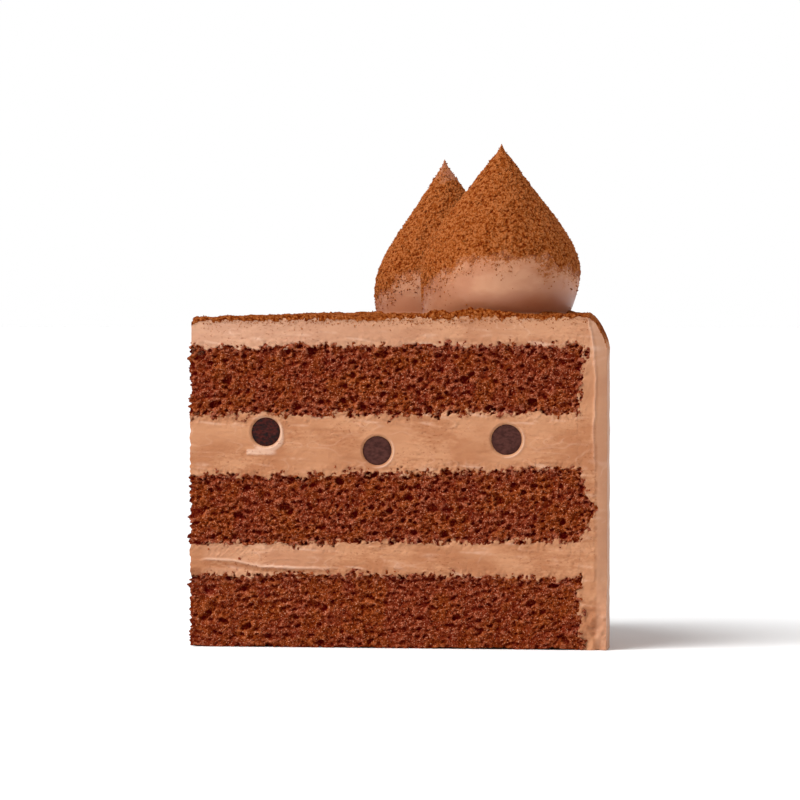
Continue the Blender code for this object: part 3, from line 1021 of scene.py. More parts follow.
    def build(self, faces: dict[Side, FaceRelief], *finishes: bpy.types.Material) -> bpy.types.Object:
        """Makes the coat in the place of its solid.

        Args:
            faces: the reliefs of the two cut faces.
            finishes: the cream's finish and the cocoa's.

        Returns:
            The finished piece.
        """
        skin, skin_tones = self.skin()
        seen, seen_tones = self.section(faces[Side.SEEN], skin[:, 0])
        far, far_tones = self.section(faces[Side.FAR], skin[:, -1])
        inner = self.plan.round_columns(far[:, 0], seen[:, 0], self.inner_columns)
        inner_tones = np.zeros(inner.shape)
        points = np.concatenate((seen, skin[:, 1:-1], far[:, ::-1], inner), axis=1)
        tones = np.concatenate((seen_tones, skin_tones[:, 1:-1], far_tones[:, ::-1], inner_tones), axis=1)
        piece = ring_mesh("cream_coat_skin", points, tones, *finishes)
        settle(piece, "chocolate_cream", "cream_coat")
        return piece


@dataclass
class Dollop:
    """A dollop of piped cream with a pulled-up tip, under a crust of cocoa.

    The crust's lower edge is dust_front, dust_left and dust_right above the foot on those sides, and above
    bare_tip the cocoa is partly rubbed off. Pressed_left fills out the foot on the left. From nib_start of
    the height on, the tip is narrower by the share nib. The foot reaches sink into the coat.
    """

    plan: SlicePlan
    node: str
    turn: float
    height: float
    belly: float
    belly_height: float
    foot: float
    lean: tuple[float, float]
    dust_front: float
    dust_left: float
    dust_right: float
    bare_tip: float
    seed: int
    pressed_left: float = 0.0
    nib: float = 0.3
    nib_start: float = 0.86
    columns: int = 520
    rows: int = 250
    sink: float = 1.0

    def radius(self, up: Array) -> Array:
        """The dollop's radii, before it is pressed or leans.

        Args:
            up: heights above the foot.

        Returns:
            One radius for each height.
        """
        under = np.clip(1 - up / self.belly_height, 0, 1)
        low = mix(self.belly, self.foot, under * under)
        share = np.clip((up - self.belly_height) / (self.height - self.belly_height), 0, 1)
        high = self.belly * (1 - share) * (1 + share * (1 - share) ** 1.5)
        high = high * (1 - self.nib * smooth(share, self.nib_start, 0.98))
        return np.where(up < self.belly_height, low, high)

    def base(self) -> Array:
        """Centre of the dollop's foot."""
        return self.plan.polar(self.plan.dollop_ring, self.turn, Level.COAT_TOP.value[2] + 0.35)

    def surface(self, spin: Array, up: Array) -> Array:
        """Points of the smooth cream.

        Args:
            spin: turns about the dollop's own axis.
            up: heights above the dollop's foot.

        Returns:
            The points, with their coordinates along a new last axis.
        """
        share = np.clip(up / self.height, 0, 1)
        radius = self.radius(up) * (1 + 0.012 * np.sin(2 * spin) * np.sin(math.pi * share))
        under = np.clip(1 - up / self.belly_height, 0, 1) ** 2 * (self.belly - self.foot)
        radius = radius + self.pressed_left * under * np.clip(-np.cos(spin), 0, 1) ** 2
        across = radius * np.cos(spin) + self.lean[0] * share ** 3
        away = radius * np.sin(spin) + self.lean[1] * share ** 3
        return self.base() + np.stack(np.broadcast_arrays(across, away, up), axis=-1)

    def dust(self, spin: Array, up: Array, points: Array, noise: Noise) -> tuple[Array, Array]:
        """How thickly loose cocoa covers each point, and how much of it is rubbed in, with painted shade
        round the foot, from 0 to 1.

        Args:
            spin: turns about the dollop's own axis.
            up: heights above the dollop's foot.
            points: the points at these turns and heights.
            noise: the dollop's noise.

        Returns:
            The cover, and the film with painted shade round the foot, one value for each point.
        """
        front = np.clip(-np.sin(spin), 0, 1)
        left = np.clip(-np.cos(spin), 0, 1) ** 2
        right = np.clip(np.cos(spin), 0, 1) ** 2
        rest = np.clip(1 - front ** 2 - left - right, 0, 1)
        edge = front ** 2 * self.dust_front + left * self.dust_left + right * self.dust_right + rest * 6
        edge = edge + 1.8 * noise.at(points, 4.2) + 1.2 * noise.at(points, 1.5)
        cover = smooth(up - edge, -6.0, 1.8)
        patchy = smooth(noise.at(points + 9, 1.6) - 0.5 * np.cos(spin - 5.4), 0.5, -0.3)
        tip = smooth(up + 1.2 * noise.at(points, 1.7), self.bare_tip - 2.5, self.bare_tip + 1.5) * patchy
        film = (0.35 + 0.65 * left) * smooth(up - edge + 2 * noise.at(points * (1, 1, 0.25), 1.6), -13.0, 1.0)
        # Painted shade: the cream is darker round the foot, most on the front right
        shaded = np.cos(spin - 5.6)
        foot = smooth(up - 1.5 * shaded, 5.0, 0.0) * (0.35 + 0.65 * np.clip(shaded, 0, 1))
        return cover * (1 - 0.75 * tip), np.maximum(np.maximum(film, foot), 1.2 * tip)

    def build(self, *finishes: bpy.types.Material) -> bpy.types.Object:
        """Makes the dollop in the place of its solid.

        Args:
            finishes: the cream's finish and the cocoa's.

        Returns:
            The finished piece.
        """
        noise = Noise(self.seed)
        fine = np.linspace(-self.sink, self.height - 0.05, 2000)
        arc = np.concatenate(((0,), np.cumsum(np.hypot(np.diff(fine), np.diff(self.radius(fine))))))
        up = np.interp(np.linspace(0, arc[-1], self.rows), arc, fine)[:, None]
        spin = np.linspace(0, 2 * math.pi, self.columns, endpoint=False)[None, :]
        points = self.surface(spin, up)
        dust, film = self.dust(spin, up, points, noise)
        heap = 0.5 * noise.grains(points, 0.85) + 0.5 * noise.grains(points + 7, 0.5)
        grainy = 0.36 * (heap - 0.45) + 0.18 * noise.at(points, 1.3) + 0.14 * noise.at(points, 2.8)
        swell = 0.12 * noise.at(points, 7) + dust * (0.02 + grainy)
        swell = swell * smooth(self.radius(up), 0.2, 3.0)
        outward = np.stack(np.broadcast_arrays(np.cos(spin), np.sin(spin), 0.4), axis=-1)
        points = points + outward * swell[..., None]
        # Painted shade for the cocoa: the gaps between its grains are darker
        cavity = np.clip(0.85 - 1.1 * heap, 0, 1)
        # The second tone holds the film and the painted shade round the foot
        tones = np.stack((cavity * dust, np.minimum(film, 1), dust), axis=-1)
        piece = ring_mesh(self.node + "_skin", points, tones, *finishes)
        settle(piece, "cocoa_dusted_cream", self.node)
        return piece


@dataclass
class ChocolateBall:
    """A chocolate ball that the knife cut flat, a little short of its middle.

    Its centre and its flat face lie centre_depth and face_depth under the cut face.
    """

    plan: SlicePlan
    place: BallPlace
    columns: int = 72
    disc_rows: int = 14
    back_rows: int = 16
    centre_depth: float = 0.6
    face_depth: float = 0.36

    def build(self, material: bpy.types.Material) -> bpy.types.Object:
        """Makes the ball in the place of its solid.

        Args:
            material: the chocolate's finish.

        Returns:
            The finished piece.
        """
        place = self.place
        noise = Noise(200 + place.number)
        opening = math.acos((self.centre_depth - self.face_depth) / place.radius)
        disc = np.linspace(0.03, 1, self.disc_rows)[:, None] * math.sin(opening) * place.radius
        bend = np.linspace(opening, math.pi - 0.05, self.back_rows + 1)[1:, None]
        radius = np.concatenate((disc, np.sin(bend) * place.radius))
        back_depth = self.centre_depth - np.cos(bend) * place.radius
        depth = np.concatenate((np.full_like(disc, self.face_depth), back_depth))
        spin = np.linspace(0, 2 * math.pi, self.columns, endpoint=False)[None, :]
        circle = np.stack((np.cos(spin), np.sin(spin), 0 * spin), axis=-1)
        around = radius * (1 + 0.02 * noise.at(circle, 0.8))
        distance = place.distance + around * np.cos(spin)
        height = place.height + around * np.sin(spin)
        flat = np.stack((distance, height, np.full_like(distance, place.number)), axis=-1)
        rough = 0.03 if place.number != 1 else 0.11
        relief = rough * noise.at(flat, 0.5) + 0.5 * rough * noise.at(flat, 1.4)
        shown = (np.arange(len(radius)) < self.disc_rows)[:, None]
        rounding = 0.1 * smooth(radius / (math.sin(opening) * place.radius), 0.88, 1.0)
        depth = depth + shown * (relief + rounding)
        points = self.plan.on_face(place.side, distance, height, depth)
        tones = np.stack((np.clip(0.5 + 4 * relief, 0, 1), 0 * relief, 0 * relief), axis=-1)
        piece = ring_mesh(f"chocolate_ball_{place.number}_cut", points, tones, material)
        settle(piece, "dark_chocolate", f"chocolate_ball_{place.number}")
        return piece


@dataclass
class Grains:
    """Many small irregular grains of one kind, joined in one piece."""

    name: str
    slot: str
    seed: int
    corners: int = 1

    def build(self, places: Array, sizes: Array, material: bpy.types.Material) -> bpy.types.Object:
        """Makes the grains.

        Args:
            places: the grains' centres in millimetres.
            sizes: the grains' radii in millimetres.
            material: the grains' finish.

        Returns:
            The finished piece.
        """
        draw = np.random.default_rng(self.seed)
        shape = bmesh.new()
        bmesh.ops.create_icosphere(shape, subdivisions=self.corners, radius=1)
        ball = np.array([vertex.co[:] for vertex in shape.verts])
        sides = np.array([[vertex.index for vertex in face.verts] for face in shape.faces])
        shape.free()
        count = len(places)
        knobs = 1 + 0.28 * draw.normal(size=(count, len(ball), 1))
        squash = draw.uniform(0.6, 1.25, (count, 1, 3))
        points = places[:, None, :] + ball[None] * knobs * squash * sizes[:, None, None]
        faces = (sides[None] + (np.arange(count) * len(ball))[:, None, None]).reshape(-1, 3)
        tones = np.repeat(draw.uniform(0.0, 0.25, (count, 1, 3)), len(ball), axis=1).reshape(-1, 3)
        tones[:, 2] = 1.0
        piece = made_object(self.name, points.reshape(-1, 3), faces.tolist(), tones, material)
        settle(piece, self.slot)
        return piece


class Sheet:
    """The node tree of one material, with short ways to add what food needs."""

    def __init__(self, name: str) -> None:
        """Makes a new material with its shader.

        Args:
            name: the material's name.
        """
        self.material = bpy.data.materials.new(name)
        self.material.use_nodes = True
        self.tree = self.material.node_tree
        self.shader = self.tree.nodes["Principled BSDF"]
        self.place = self.tree.nodes.new("ShaderNodeTexCoord").outputs["Object"]
        tone = self.tree.nodes.new("ShaderNodeAttribute")
        tone.attribute_name = "tone"
        split = self.tree.nodes.new("ShaderNodeSeparateColor")
        self.tree.links.new(tone.outputs["Color"], split.inputs[0])
        self.tones = split.outputs

    def put(self, value: Socket | Colour | float, socket: Socket) -> None:
        """Links a socket's value to another socket, or sets a plain value on it.

        Args:
            value: the value, or the socket that gives it.
            socket: the socket that takes it.
        """
        if isinstance(value, bpy.types.NodeSocket):
            self.tree.links.new(value, socket)
        else:
            socket.default_value = value

    def texture(self, kind: str, size: float, stretch: Triple = (1, 1, 1)) -> bpy.types.Node:
        """Adds a texture in the object's own place.

        Args:
            kind: the texture node's kind.
            size: length of its features in millimetres.
            stretch: how much longer they are along each axis.

        Returns:
            The texture's node.
        """
        mapping = self.tree.nodes.new("ShaderNodeMapping")
        mapping.inputs["Scale"].default_value = [1 / (size * MM * part) for part in stretch]
        node = self.tree.nodes.new(kind)
        node.inputs["Scale"].default_value = 1
        self.tree.links.new(self.place, mapping.inputs["Vector"])
        self.tree.links.new(mapping.outputs["Vector"], node.inputs["Vector"])
        return node

    def noise(self, size: float, detail: float = 2, stretch: Triple = (1, 1, 1)) -> Socket:
        """Cloudy values round 0.5.

        Args:
            size: length of the clouds in millimetres.
            detail: how many finer clouds are added.
            stretch: how much longer they are along each axis.

        Returns:
            The socket that gives them.
        """
        node = self.texture("ShaderNodeTexNoise", size, stretch)
        node.inputs["Detail"].default_value = detail
        return node.outputs["Fac"]

    def cells(self, size: float) -> Socket:
        """Values of grains this many millimetres wide: 0 at a grain's middle, about 0.8 between grains."""
        return self.texture("ShaderNodeTexVoronoi", size).outputs["Distance"]

    def calc(self, operation: str, first: Socket | float, second: Socket | float) -> Socket:
        """The result of an operation on two values.

        Args:
            operation: its name, such as ADD or MULTIPLY.
            first: the first value.
            second: the second value.

        Returns:
            The socket that gives the result.
        """
        node = self.tree.nodes.new("ShaderNodeMath")
        node.operation = operation
        self.put(first, node.inputs[0])
        self.put(second, node.inputs[1])
        return node.outputs[0]

    def swing(self, value: Socket, factor: Socket | float) -> Socket:
        """How far a value is from a half, times a factor."""
        return self.calc("MULTIPLY", self.calc("SUBTRACT", value, 0.5), factor)

    def step(self, value: Socket, low: float, high: float) -> Socket:
        """An eased step.

        Args:
            value: what is compared.
            low: the value that gives 0.
            high: the value that gives 1.

        Returns:
            The socket that gives the result.
        """
        node = self.tree.nodes.new("ShaderNodeMapRange")
        node.interpolation_type = "SMOOTHSTEP"
        node.inputs["From Min"].default_value = low
        node.inputs["From Max"].default_value = high
        self.tree.links.new(value, node.inputs["Value"])
        return node.outputs["Result"]

    def blend(self, share: Socket, first: Socket | Colour, second: Socket | Colour) -> Socket:
        """A colour part of the way from one to another.

        Args:
            share: how much of the way.
            first: the colour at 0.
            second: the colour at 1.

        Returns:
            The socket that gives the colour.
        """
        node = self.tree.nodes.new("ShaderNodeMix")
        node.data_type = "RGBA"
        self.tree.links.new(share, node.inputs["Factor"])
        colours = [socket for socket in node.inputs if socket.type == "RGBA"]
        self.put(first, colours[0])
        self.put(second, colours[1])
        return next(socket for socket in node.outputs if socket.type == "RGBA")

    def bump(self, height: Socket, depth: float, before: Socket | None = None) -> Socket:
        """The surface's direction with small relief on it.

        Args:
            height: the relief, from 0 to 1.
            depth: the relief's height at 1, in millimetres.
            before: the direction with coarser relief, if any.

        Returns:
            The socket that gives the direction.
        """
        node = self.tree.nodes.new("ShaderNodeBump")
        node.inputs["Strength"].default_value = 1
        node.inputs["Distance"].default_value = depth * MM
        self.tree.links.new(height, node.inputs["Height"])
        if before is not None:
            self.tree.links.new(before, node.inputs["Normal"])
        return node.outputs["Normal"]

    def set(self, name: str, value: Socket | Colour | float) -> None:
        """Sets or links one of the shader's sockets."""
        self.put(value, self.shader.inputs[name])


@dataclass(frozen=True)
class SpongeFinish:
    """Dark red-brown sponge, paler on the tops of the crumb and deep red down its pores by painted light and
    shade, with painted glints.
    """

    # The first three colours and the two warm ones are lit and shaded copies of the crumb, painted by depth
    painted_lit_crest: Colour = linear(155, 82, 56)
    wall: Colour = linear(106, 36, 12)
    painted_hollow_shade: Colour = linear(66, 0, 0)
    painted_lit_warm_crest: Colour = linear(152, 78, 41)
    warm_wall: Colour = linear(110, 42, 7)
    wine: Colour = linear(96, 22, 10)
    creamy: Colour = linear(166, 98, 76)
    painted_glint: Colour = linear(208, 146, 116)

    def material(self) -> bpy.types.Material:
        """Makes the sponge's material.

        Returns:
            The new material.
        """
        sheet = Sheet("sponge_crumb")
        fine = sheet.noise(0.2, 2)
        knots = sheet.noise(0.42, 3)
        grain = sheet.calc("ADD", sheet.calc("MULTIPLY", fine, 1.2), sheet.calc("MULTIPLY", knots, 0.8))
        depth = sheet.calc("ADD", sheet.tones[0], sheet.calc("SUBTRACT", grain, 1.04))
        # Painted light and shade: paler on the tops of the crumb and darker down its pores
        colour = sheet.blend(sheet.step(depth, 0.02, 0.36), self.painted_lit_crest, self.wall)
        warm = sheet.blend(sheet.step(depth, 0.04, 0.38), self.painted_lit_warm_crest, self.warm_wall)
        colour = sheet.blend(sheet.step(sheet.noise(4.5, 3), 0.4, 0.62), colour, warm)
        dark_part = sheet.calc("MULTIPLY", sheet.step(sheet.noise(3.1, 3), 0.54, 0.72), 0.6)
        colour = sheet.blend(dark_part, colour, self.wine)
        smear = sheet.calc("MULTIPLY", sheet.tones[1], sheet.step(sheet.noise(0.8), 0.5, 0.6))
        colour = sheet.blend(sheet.calc("MULTIPLY", smear, 0.5), colour, self.creamy)
        # Painted glints: small pale specks on the tops of the crumb
        painted_glint_share = sheet.step(sheet.noise(0.27, 1), 0.62, 0.7)
        painted_glint_share = sheet.calc("MULTIPLY", painted_glint_share, sheet.step(depth, 0.6, 0.3))
        colour = sheet.blend(sheet.calc("MULTIPLY", painted_glint_share, 0.75), colour, self.painted_glint)
        # Painted shade: the deepest pores turn dark red
        colour = sheet.blend(sheet.step(depth, 0.42, 0.8), colour, self.painted_hollow_shade)
        sheet.set("Base Color", colour)
        sheet.set("Roughness", sheet.calc("ADD", sheet.calc("MULTIPLY", knots, 0.5), 0.45))
        sheet.set("Specular IOR Level", 0.02)
        sheet.set("Normal", sheet.bump(fine, -0.07, sheet.bump(knots, -0.16)))
        return sheet.material


@dataclass(frozen=True)
class CreamFinish:
    """Pale chocolate cream with fine pits and smear marks, painted light and shade, and cocoa where the mesh
    says so.

    Streaky cream was cut by the knife or spread over the wall. Piped cream and cocoa are not streaky.
    """

    name: str = "chocolate_cream"
    specular: float = 0.1
    pale: Colour = linear(182, 129, 94)
    deep: Colour = linear(164, 108, 74)
    # The smear colour also paints highlights and light on the cut cream
    smear: Colour = linear(204, 163, 139)
    pit: Colour = linear(122, 64, 34)
    cocoa_painted_lit: Colour = linear(159, 92, 49)
    cocoa: Colour = linear(133, 66, 22)
    cocoa_painted_shade: Colour = linear(94, 30, 1)
    sheen: float = 0.0
    sheen_tint: Colour = linear(200, 205, 255)
    streaky: bool = True

    def material(self) -> bpy.types.Material:
        """Makes the cream's material.

        Returns:
            The new material.
        """
        sheet = Sheet(self.name)
        mottle = sheet.noise(4.5, 3, (2.0, 2.0, 1.0))
        if self.streaky:
            streaks = sheet.noise(0.8, 3, (7.0, 7.0, 1.0))
            streaks = sheet.calc("ADD", streaks, sheet.noise(0.5, 3, (2.0, 2.0, 1.0)))
            streaks = sheet.calc("MULTIPLY", sheet.calc("SUBTRACT", streaks, 1.0), sheet.tones[0])
            mottle = sheet.calc("ADD", sheet.calc("MULTIPLY", streaks, 0.45), mottle)
            # Smooth cream, such as the wall's, is mottled less than rough cream
            calm = sheet.calc("MINIMUM", sheet.calc("ADD", sheet.tones[0], 0.25), 0.7)
            mottle = sheet.calc("ADD", sheet.swing(mottle, calm), 0.5)
        colour = sheet.blend(sheet.step(mottle, 0.4, 0.6), self.pale, self.deep)
        colour = sheet.blend(sheet.calc("MULTIPLY", sheet.tones[1], 0.9), colour, self.smear)
        # Painted shade: cream in the sponge's pores and under the knife's lip takes the pit colour
        painted_shade_share = sheet.calc("SUBTRACT", sheet.tones[0], 1.0)
        specks = sheet.step(sheet.noise(0.45, 3, (1.6, 1.6, 1.0)), 0.59, 0.7)
        specks = sheet.calc("MULTIPLY", sheet.calc("MULTIPLY", sheet.tones[0], specks), 0.55)
        specks = sheet.calc("MAXIMUM", specks, sheet.calc("MULTIPLY", painted_shade_share, 0.18))
        specks = sheet.calc("MINIMUM", specks, 0.85)
        colour = sheet.blend(specks, colour, self.pit)
        grain = sheet.calc("SUBTRACT", 1.0, sheet.cells(0.42))
        clump = sheet.noise(1.3, 3)
        spread = sheet.calc("ADD", sheet.swing(grain, 1.5), sheet.swing(clump, 1.2))
        cover = sheet.calc("SUBTRACT", sheet.calc("MULTIPLY", sheet.tones[2], 2.6), 0.75)
        dust = sheet.step(sheet.calc("ADD", cover, spread), 0.5, 0.66)
        # Painted shade and light: cocoa darker in the gaps between its grains and paler on their tops
        painted_hollow_shade = sheet.calc("SUBTRACT", sheet.calc("ADD", sheet.tones[0], 0.5), grain)
        powder = sheet.blend(sheet.step(painted_hollow_shade, 0.0, 0.4), self.cocoa_painted_lit, self.cocoa)
        powder = sheet.blend(sheet.step(painted_hollow_shade, 0.35, 0.9), powder, self.cocoa_painted_shade)
        colour = sheet.blend(dust, colour, powder)
        sheet.set("Base Color", colour)
        thick = sheet.step(sheet.tones[2], 0.0, 0.3)
        sheet.set("Roughness", sheet.calc("ADD", sheet.calc("MULTIPLY", thick, 0.5), 0.42))
        sheet.set("Subsurface Weight", 0.1)
        sheet.set("Subsurface Radius", (1.0, 0.5, 0.3))
        sheet.set("Subsurface Scale", MM)
        sheet.set("Specular IOR Level", self.specular)
        sheet.set("Sheen Weight", self.sheen)
        sheet.set("Sheen Roughness", 0.3)
        sheet.set("Sheen Tint", self.sheen_tint)
        soft = sheet.bump(sheet.noise(1.6, 4, (2.5, 2.5, 1.0)), 0.06 if self.streaky else 0.02)
        soft = sheet.bump(sheet.noise(0.35, 2), 0.035 if self.streaky else 0.01, soft)
        rough = sheet.calc("ADD", grain, sheet.calc("MULTIPLY", clump, 0.8))
        sheet.set("Normal", sheet.bump(sheet.calc("MULTIPLY", rough, sheet.tones[2]), 0.2, soft))
        return sheet.material


@dataclass(frozen=True)
class ChocolateFinish:
    """Dark chocolate with the dull, slightly streaked look of a cut."""

    name: str = "dark_chocolate_cut"
    dark: Colour = linear(50, 17, 11)
    pale: Colour = linear(74, 38, 31)
    streak: float = 0.6

    def material(self) -> bpy.types.Material:
        """Makes the chocolate's material.

        Returns:
            The new material.
        """
        sheet = Sheet(self.name)
        streaks = sheet.noise(self.streak, 4, (1.6, 1.6, 1))
        colour = sheet.blend(sheet.step(streaks, 0.3, 0.7), self.dark, self.pale)
        sheet.set("Base Color", colour)
        sheet.set("Roughness", sheet.calc("ADD", sheet.calc("MULTIPLY", sheet.noise(0.4), 0.3), 0.4))
        sheet.set("Specular IOR Level", 0.15)
        sheet.set("Normal", sheet.bump(sheet.noise(0.3, 3), 0.03))
        return sheet.material


@dataclass(frozen=True)
class TableFinish:
    """The plain pale floor."""

    colour: Colour = (0.95, 0.95, 0.95, 1.0)

    def material(self) -> bpy.types.Material:
        """Makes the floor's material.

        Returns:
            The new material.
        """
        sheet = Sheet("pale_table")
        sheet.set("Base Color", self.colour)
        sheet.set("Roughness", 0.8)
        sheet.set("Specular IOR Level", 0.1)
        return sheet.material


@dataclass(frozen=True)
class Lamp:
    """A soft light. One without a distance is far away and shines evenly on everything.

    Width is the lamp's side in metres, or the angle that a far one takes up, in degrees.
    """

    name: str
    azimuth: float
    elevation: float
    strength: float
    width: float
    colour: Triple = (1.0, 1.0, 1.0)
    distance: float = 0.0

    def add(self, target: Vector) -> None:
        """Adds the lamp.

        Args:
            target: the point that it shines at, in metres.
        """
        data = bpy.data.lights.new(self.name, "AREA" if self.distance else "SUN")
        if self.distance:
            data.size = self.width
        else:
            data.angle = math.radians(self.width)
        data.energy = self.strength
        data.color = self.colour
        lamp = bpy.data.objects.new(self.name, data)
        towards = direction(self.azimuth, self.elevation)
        lamp.location = target + towards * self.distance
        lamp.rotation_euler = towards.to_track_quat("Z", "Y").to_euler()
        bpy.context.scene.collection.objects.link(lamp)


def direction(azimuth: float, elevation: float) -> Vector:
    """The direction from the slice to a place seen at these angles, in degrees. Azimuth 0 is at -Y."""
    turn, rise = math.radians(azimuth), math.radians(elevation)
    return Vector((math.sin(turn) * math.cos(rise), -math.cos(turn) * math.cos(rise), math.sin(rise)))


@dataclass(frozen=True)
class Studio:
    """Floor, soft light and camera.

    Angles are in degrees, and distances in metres. The light from all round is horizon_light strong up to
    horizon_top, a share of the way up, and fades to ceiling_light from ceiling_from on.
    """

    camera_azimuth: float = 9.0
    camera_elevation: float = 1.3
    camera_distance: float = 1.3
    camera_target: Triple = (0.0, -0.039, 0.053)
    target_pixel: tuple[float, float] = (395.7, 395.9)
    focal_pixels: float = 6203.0
    sensor: float = 36.0
    floor_side: float = 12.0
    horizon_light: float = 1.0
    horizon_top: float = 0.14
    ceiling_light: float = 0.38
    ceiling_from: float = 0.5
    lamps: tuple[Lamp, ...] = (
        Lamp("key_light", -44, 52, 2.7, 40),
        Lamp("near_light", -58, 38, 0.45, 0.25, (1.0, 0.99, 0.98), 0.36),
        Lamp("rim_light", 112, 12, 0.45, 30, (0.8, 0.88, 1.0)),
    )

    def build(self) -> None:
        """Makes the floor, the light and the camera."""
        self.add_floor()
        self.add_world()
        for lamp in self.lamps:
            lamp.add(Vector(self.camera_target))
        self.add_camera()
        bpy.context.scene.view_settings.view_transform = "Standard"
        LOG.info("studio: %d lamps", len(self.lamps))

    def add_floor(self) -> None:
        """A wide pale floor."""
        shape = bmesh.new()
        bmesh.ops.create_grid(shape, x_segments=1, y_segments=1, size=self.floor_side / 2)
        mesh = bpy.data.meshes.new("table")
        shape.to_mesh(mesh)
        shape.free()
        mesh.materials.append(TableFinish().material())
        floor = bpy.data.objects.new("table", mesh)
        bpy.context.scene.collection.objects.link(floor)

    def add_world(self) -> None:
        """White light from all round, bright at the height of the eye and weaker from above."""
        world = bpy.data.worlds.new("studio")
        world.use_nodes = True
        tree = world.node_tree
        split = tree.nodes.new("ShaderNodeSeparateXYZ")
        rise = tree.nodes.new("ShaderNodeMapRange")
        rise.interpolation_type = "SMOOTHSTEP"
        rise.inputs["From Min"].default_value = self.horizon_top
        rise.inputs["From Max"].default_value = self.ceiling_from
        rise.inputs["To Min"].default_value = self.horizon_light
        rise.inputs["To Max"].default_value = self.ceiling_light
        tree.links.new(tree.nodes.new("ShaderNodeTexCoord").outputs["Generated"], split.inputs[0])
        tree.links.new(split.outputs["Z"], rise.inputs["Value"])
        tree.links.new(rise.outputs["Result"], tree.nodes["Background"].inputs["Strength"])
        tree.nodes["Background"].inputs["Color"].default_value = (1.0, 1.0, 1.0, 1.0)
        bpy.context.scene.world = world

    def add_camera(self) -> None:
        """The camera at the photograph's angle, moved sideways until its target is at the target's pixel."""
        data = bpy.data.cameras.new("camera")
        data.sensor_width = self.sensor
        data.lens = self.focal_pixels / PHOTO_SIDE * self.sensor
        data.clip_end = 50
        camera = bpy.data.objects.new("camera", data)
        back = direction(self.camera_azimuth, self.camera_elevation)
        turned = back.to_track_quat("Z", "Y")
        metres = self.camera_distance / self.focal_pixels
        across = (PHOTO_SIDE / 2 - self.target_pixel[0]) * metres
        down = (PHOTO_SIDE / 2 - self.target_pixel[1]) * metres
        shift = turned @ Vector((across, -down, 0))
        camera.location = Vector(self.camera_target) + back * self.camera_distance + shift
        camera.rotation_euler = turned.to_euler()
        bpy.context.scene.collection.objects.link(camera)
        bpy.context.scene.camera = camera


@dataclass
class Dusting:
    """Loose cocoa grains on the dollops and the coat, and sponge crumbs on the cut faces."""

    plan: SlicePlan
    per_dollop: int = 3600
    on_top: int = 1900
    on_faces: int = 700
    crumbs: int = 150

    def dollop_grains(self, dollops: tuple[Dollop, ...]) -> tuple[Array, Array]:
        """Strews grains on the dollops, fewer of them below the edge of the cocoa.

        Args:
            dollops: the dollops.

        Returns:
            The grains' centres and radii, in millimetres.
        """
        places, sizes = [], []
        for dollop in dollops:
            draw = np.random.default_rng(dollop.seed + 5)
            tries = self.per_dollop * 4
            up = draw.uniform(0.5, dollop.height - 0.5, tries)
            spin = draw.uniform(0, 2 * math.pi, tries)
            points = dollop.surface(spin, up)
            dust, _ = dollop.dust(spin, up, points, Noise(dollop.seed))
            chance = 0.12 * dust + 0.9 * dust * (1 - dust) + 0.006 + 0.03 * np.clip(-np.cos(spin), 0, 1)
            kept = draw.random(tries) < 2.2 * chance * dollop.radius(up) / dollop.belly
            outward = np.stack((np.cos(spin), np.sin(spin), 0.4 + 0 * spin), axis=-1)
            size = 0.07 + 0.13 * draw.random(tries) ** 2
            points = points + outward * (0.1 * dust + 0.3 * size)[:, None]
            places.append(points[kept][: self.per_dollop])
            sizes.append(size[kept][: self.per_dollop])
        return np.concatenate(places), np.concatenate(sizes)

    def coat_grains(self, coat: Coat, faces: dict[Side, FaceRelief]) -> tuple[Array, Array]:
        """Strews grains on the coat's top and just below its edges.

        Args:
            coat: the coat.
            faces: the reliefs of the two cut faces.

        Returns:
            The grains' centres and radii, in millimetres.
        """
        draw = np.random.default_rng(91)
        plan = self.plan
        distance = plan.radius * np.sqrt(draw.random(self.on_top))
        distance = np.clip(distance, plan.blunt + 3, plan.radius - plan.rim_reach)
        turn = plan.angle * draw.beta(0.6, 0.6, self.on_top)
        top = plan.polar(distance, turn, plan.level(Level.COAT_TOP, distance / plan.radius))
        top[:, 2] += coat.lump(top)
        places, sizes = [top], [0.08 + 0.16 * draw.random(self.on_top) ** 2]
        for side, face in faces.items():
            along = draw.uniform(plan.blunt + 3, plan.radius - 4, self.on_faces)
            below = 0.8 + draw.exponential(0.5, self.on_faces)
            height = plan.level(Level.COAT_TOP, along / plan.radius) - np.minimum(below, 4.5)
            size = 0.06 + 0.09 * draw.random(self.on_faces) ** 2
            depth = face.read("cream", along, height) - 0.4 * size
            places.append(plan.on_face(side, along, height, depth))
            sizes.append(size)
        return np.concatenate(places), np.concatenate(sizes)

    def face_crumbs(self, faces: dict[Side, FaceRelief]) -> tuple[Array, Array]:
        """Strews crumbs that the knife dragged on to the cream beside the sponge.

        Args:
            faces: the reliefs of the two cut faces.

        Returns:
            The crumbs' centres and radii, in millimetres.
        """
        places, sizes = [], []
        for side, face in faces.items():
            draw = np.random.default_rng(face.seed + 9)
            tries = self.crumbs * 60
            distance = draw.uniform(3, 85, tries)
            height = draw.uniform(0.5, 64, tries)
            outside = face.read("outside", distance, height)
            kept = (outside > -0.2) & (draw.random(tries) < np.exp(-np.maximum(outside, 0) / 0.35))
            size = (0.1 + 0.22 * draw.random(tries) ** 3)[kept][: self.crumbs]
            distance, height = distance[kept][: self.crumbs], height[kept][: self.crumbs]
            depth = face.read("cream", distance, height) - 0.2 * size
            places.append(self.plan.on_face(side, distance, height, depth))
            sizes.append(size)
        return np.concatenate(places), np.concatenate(sizes)


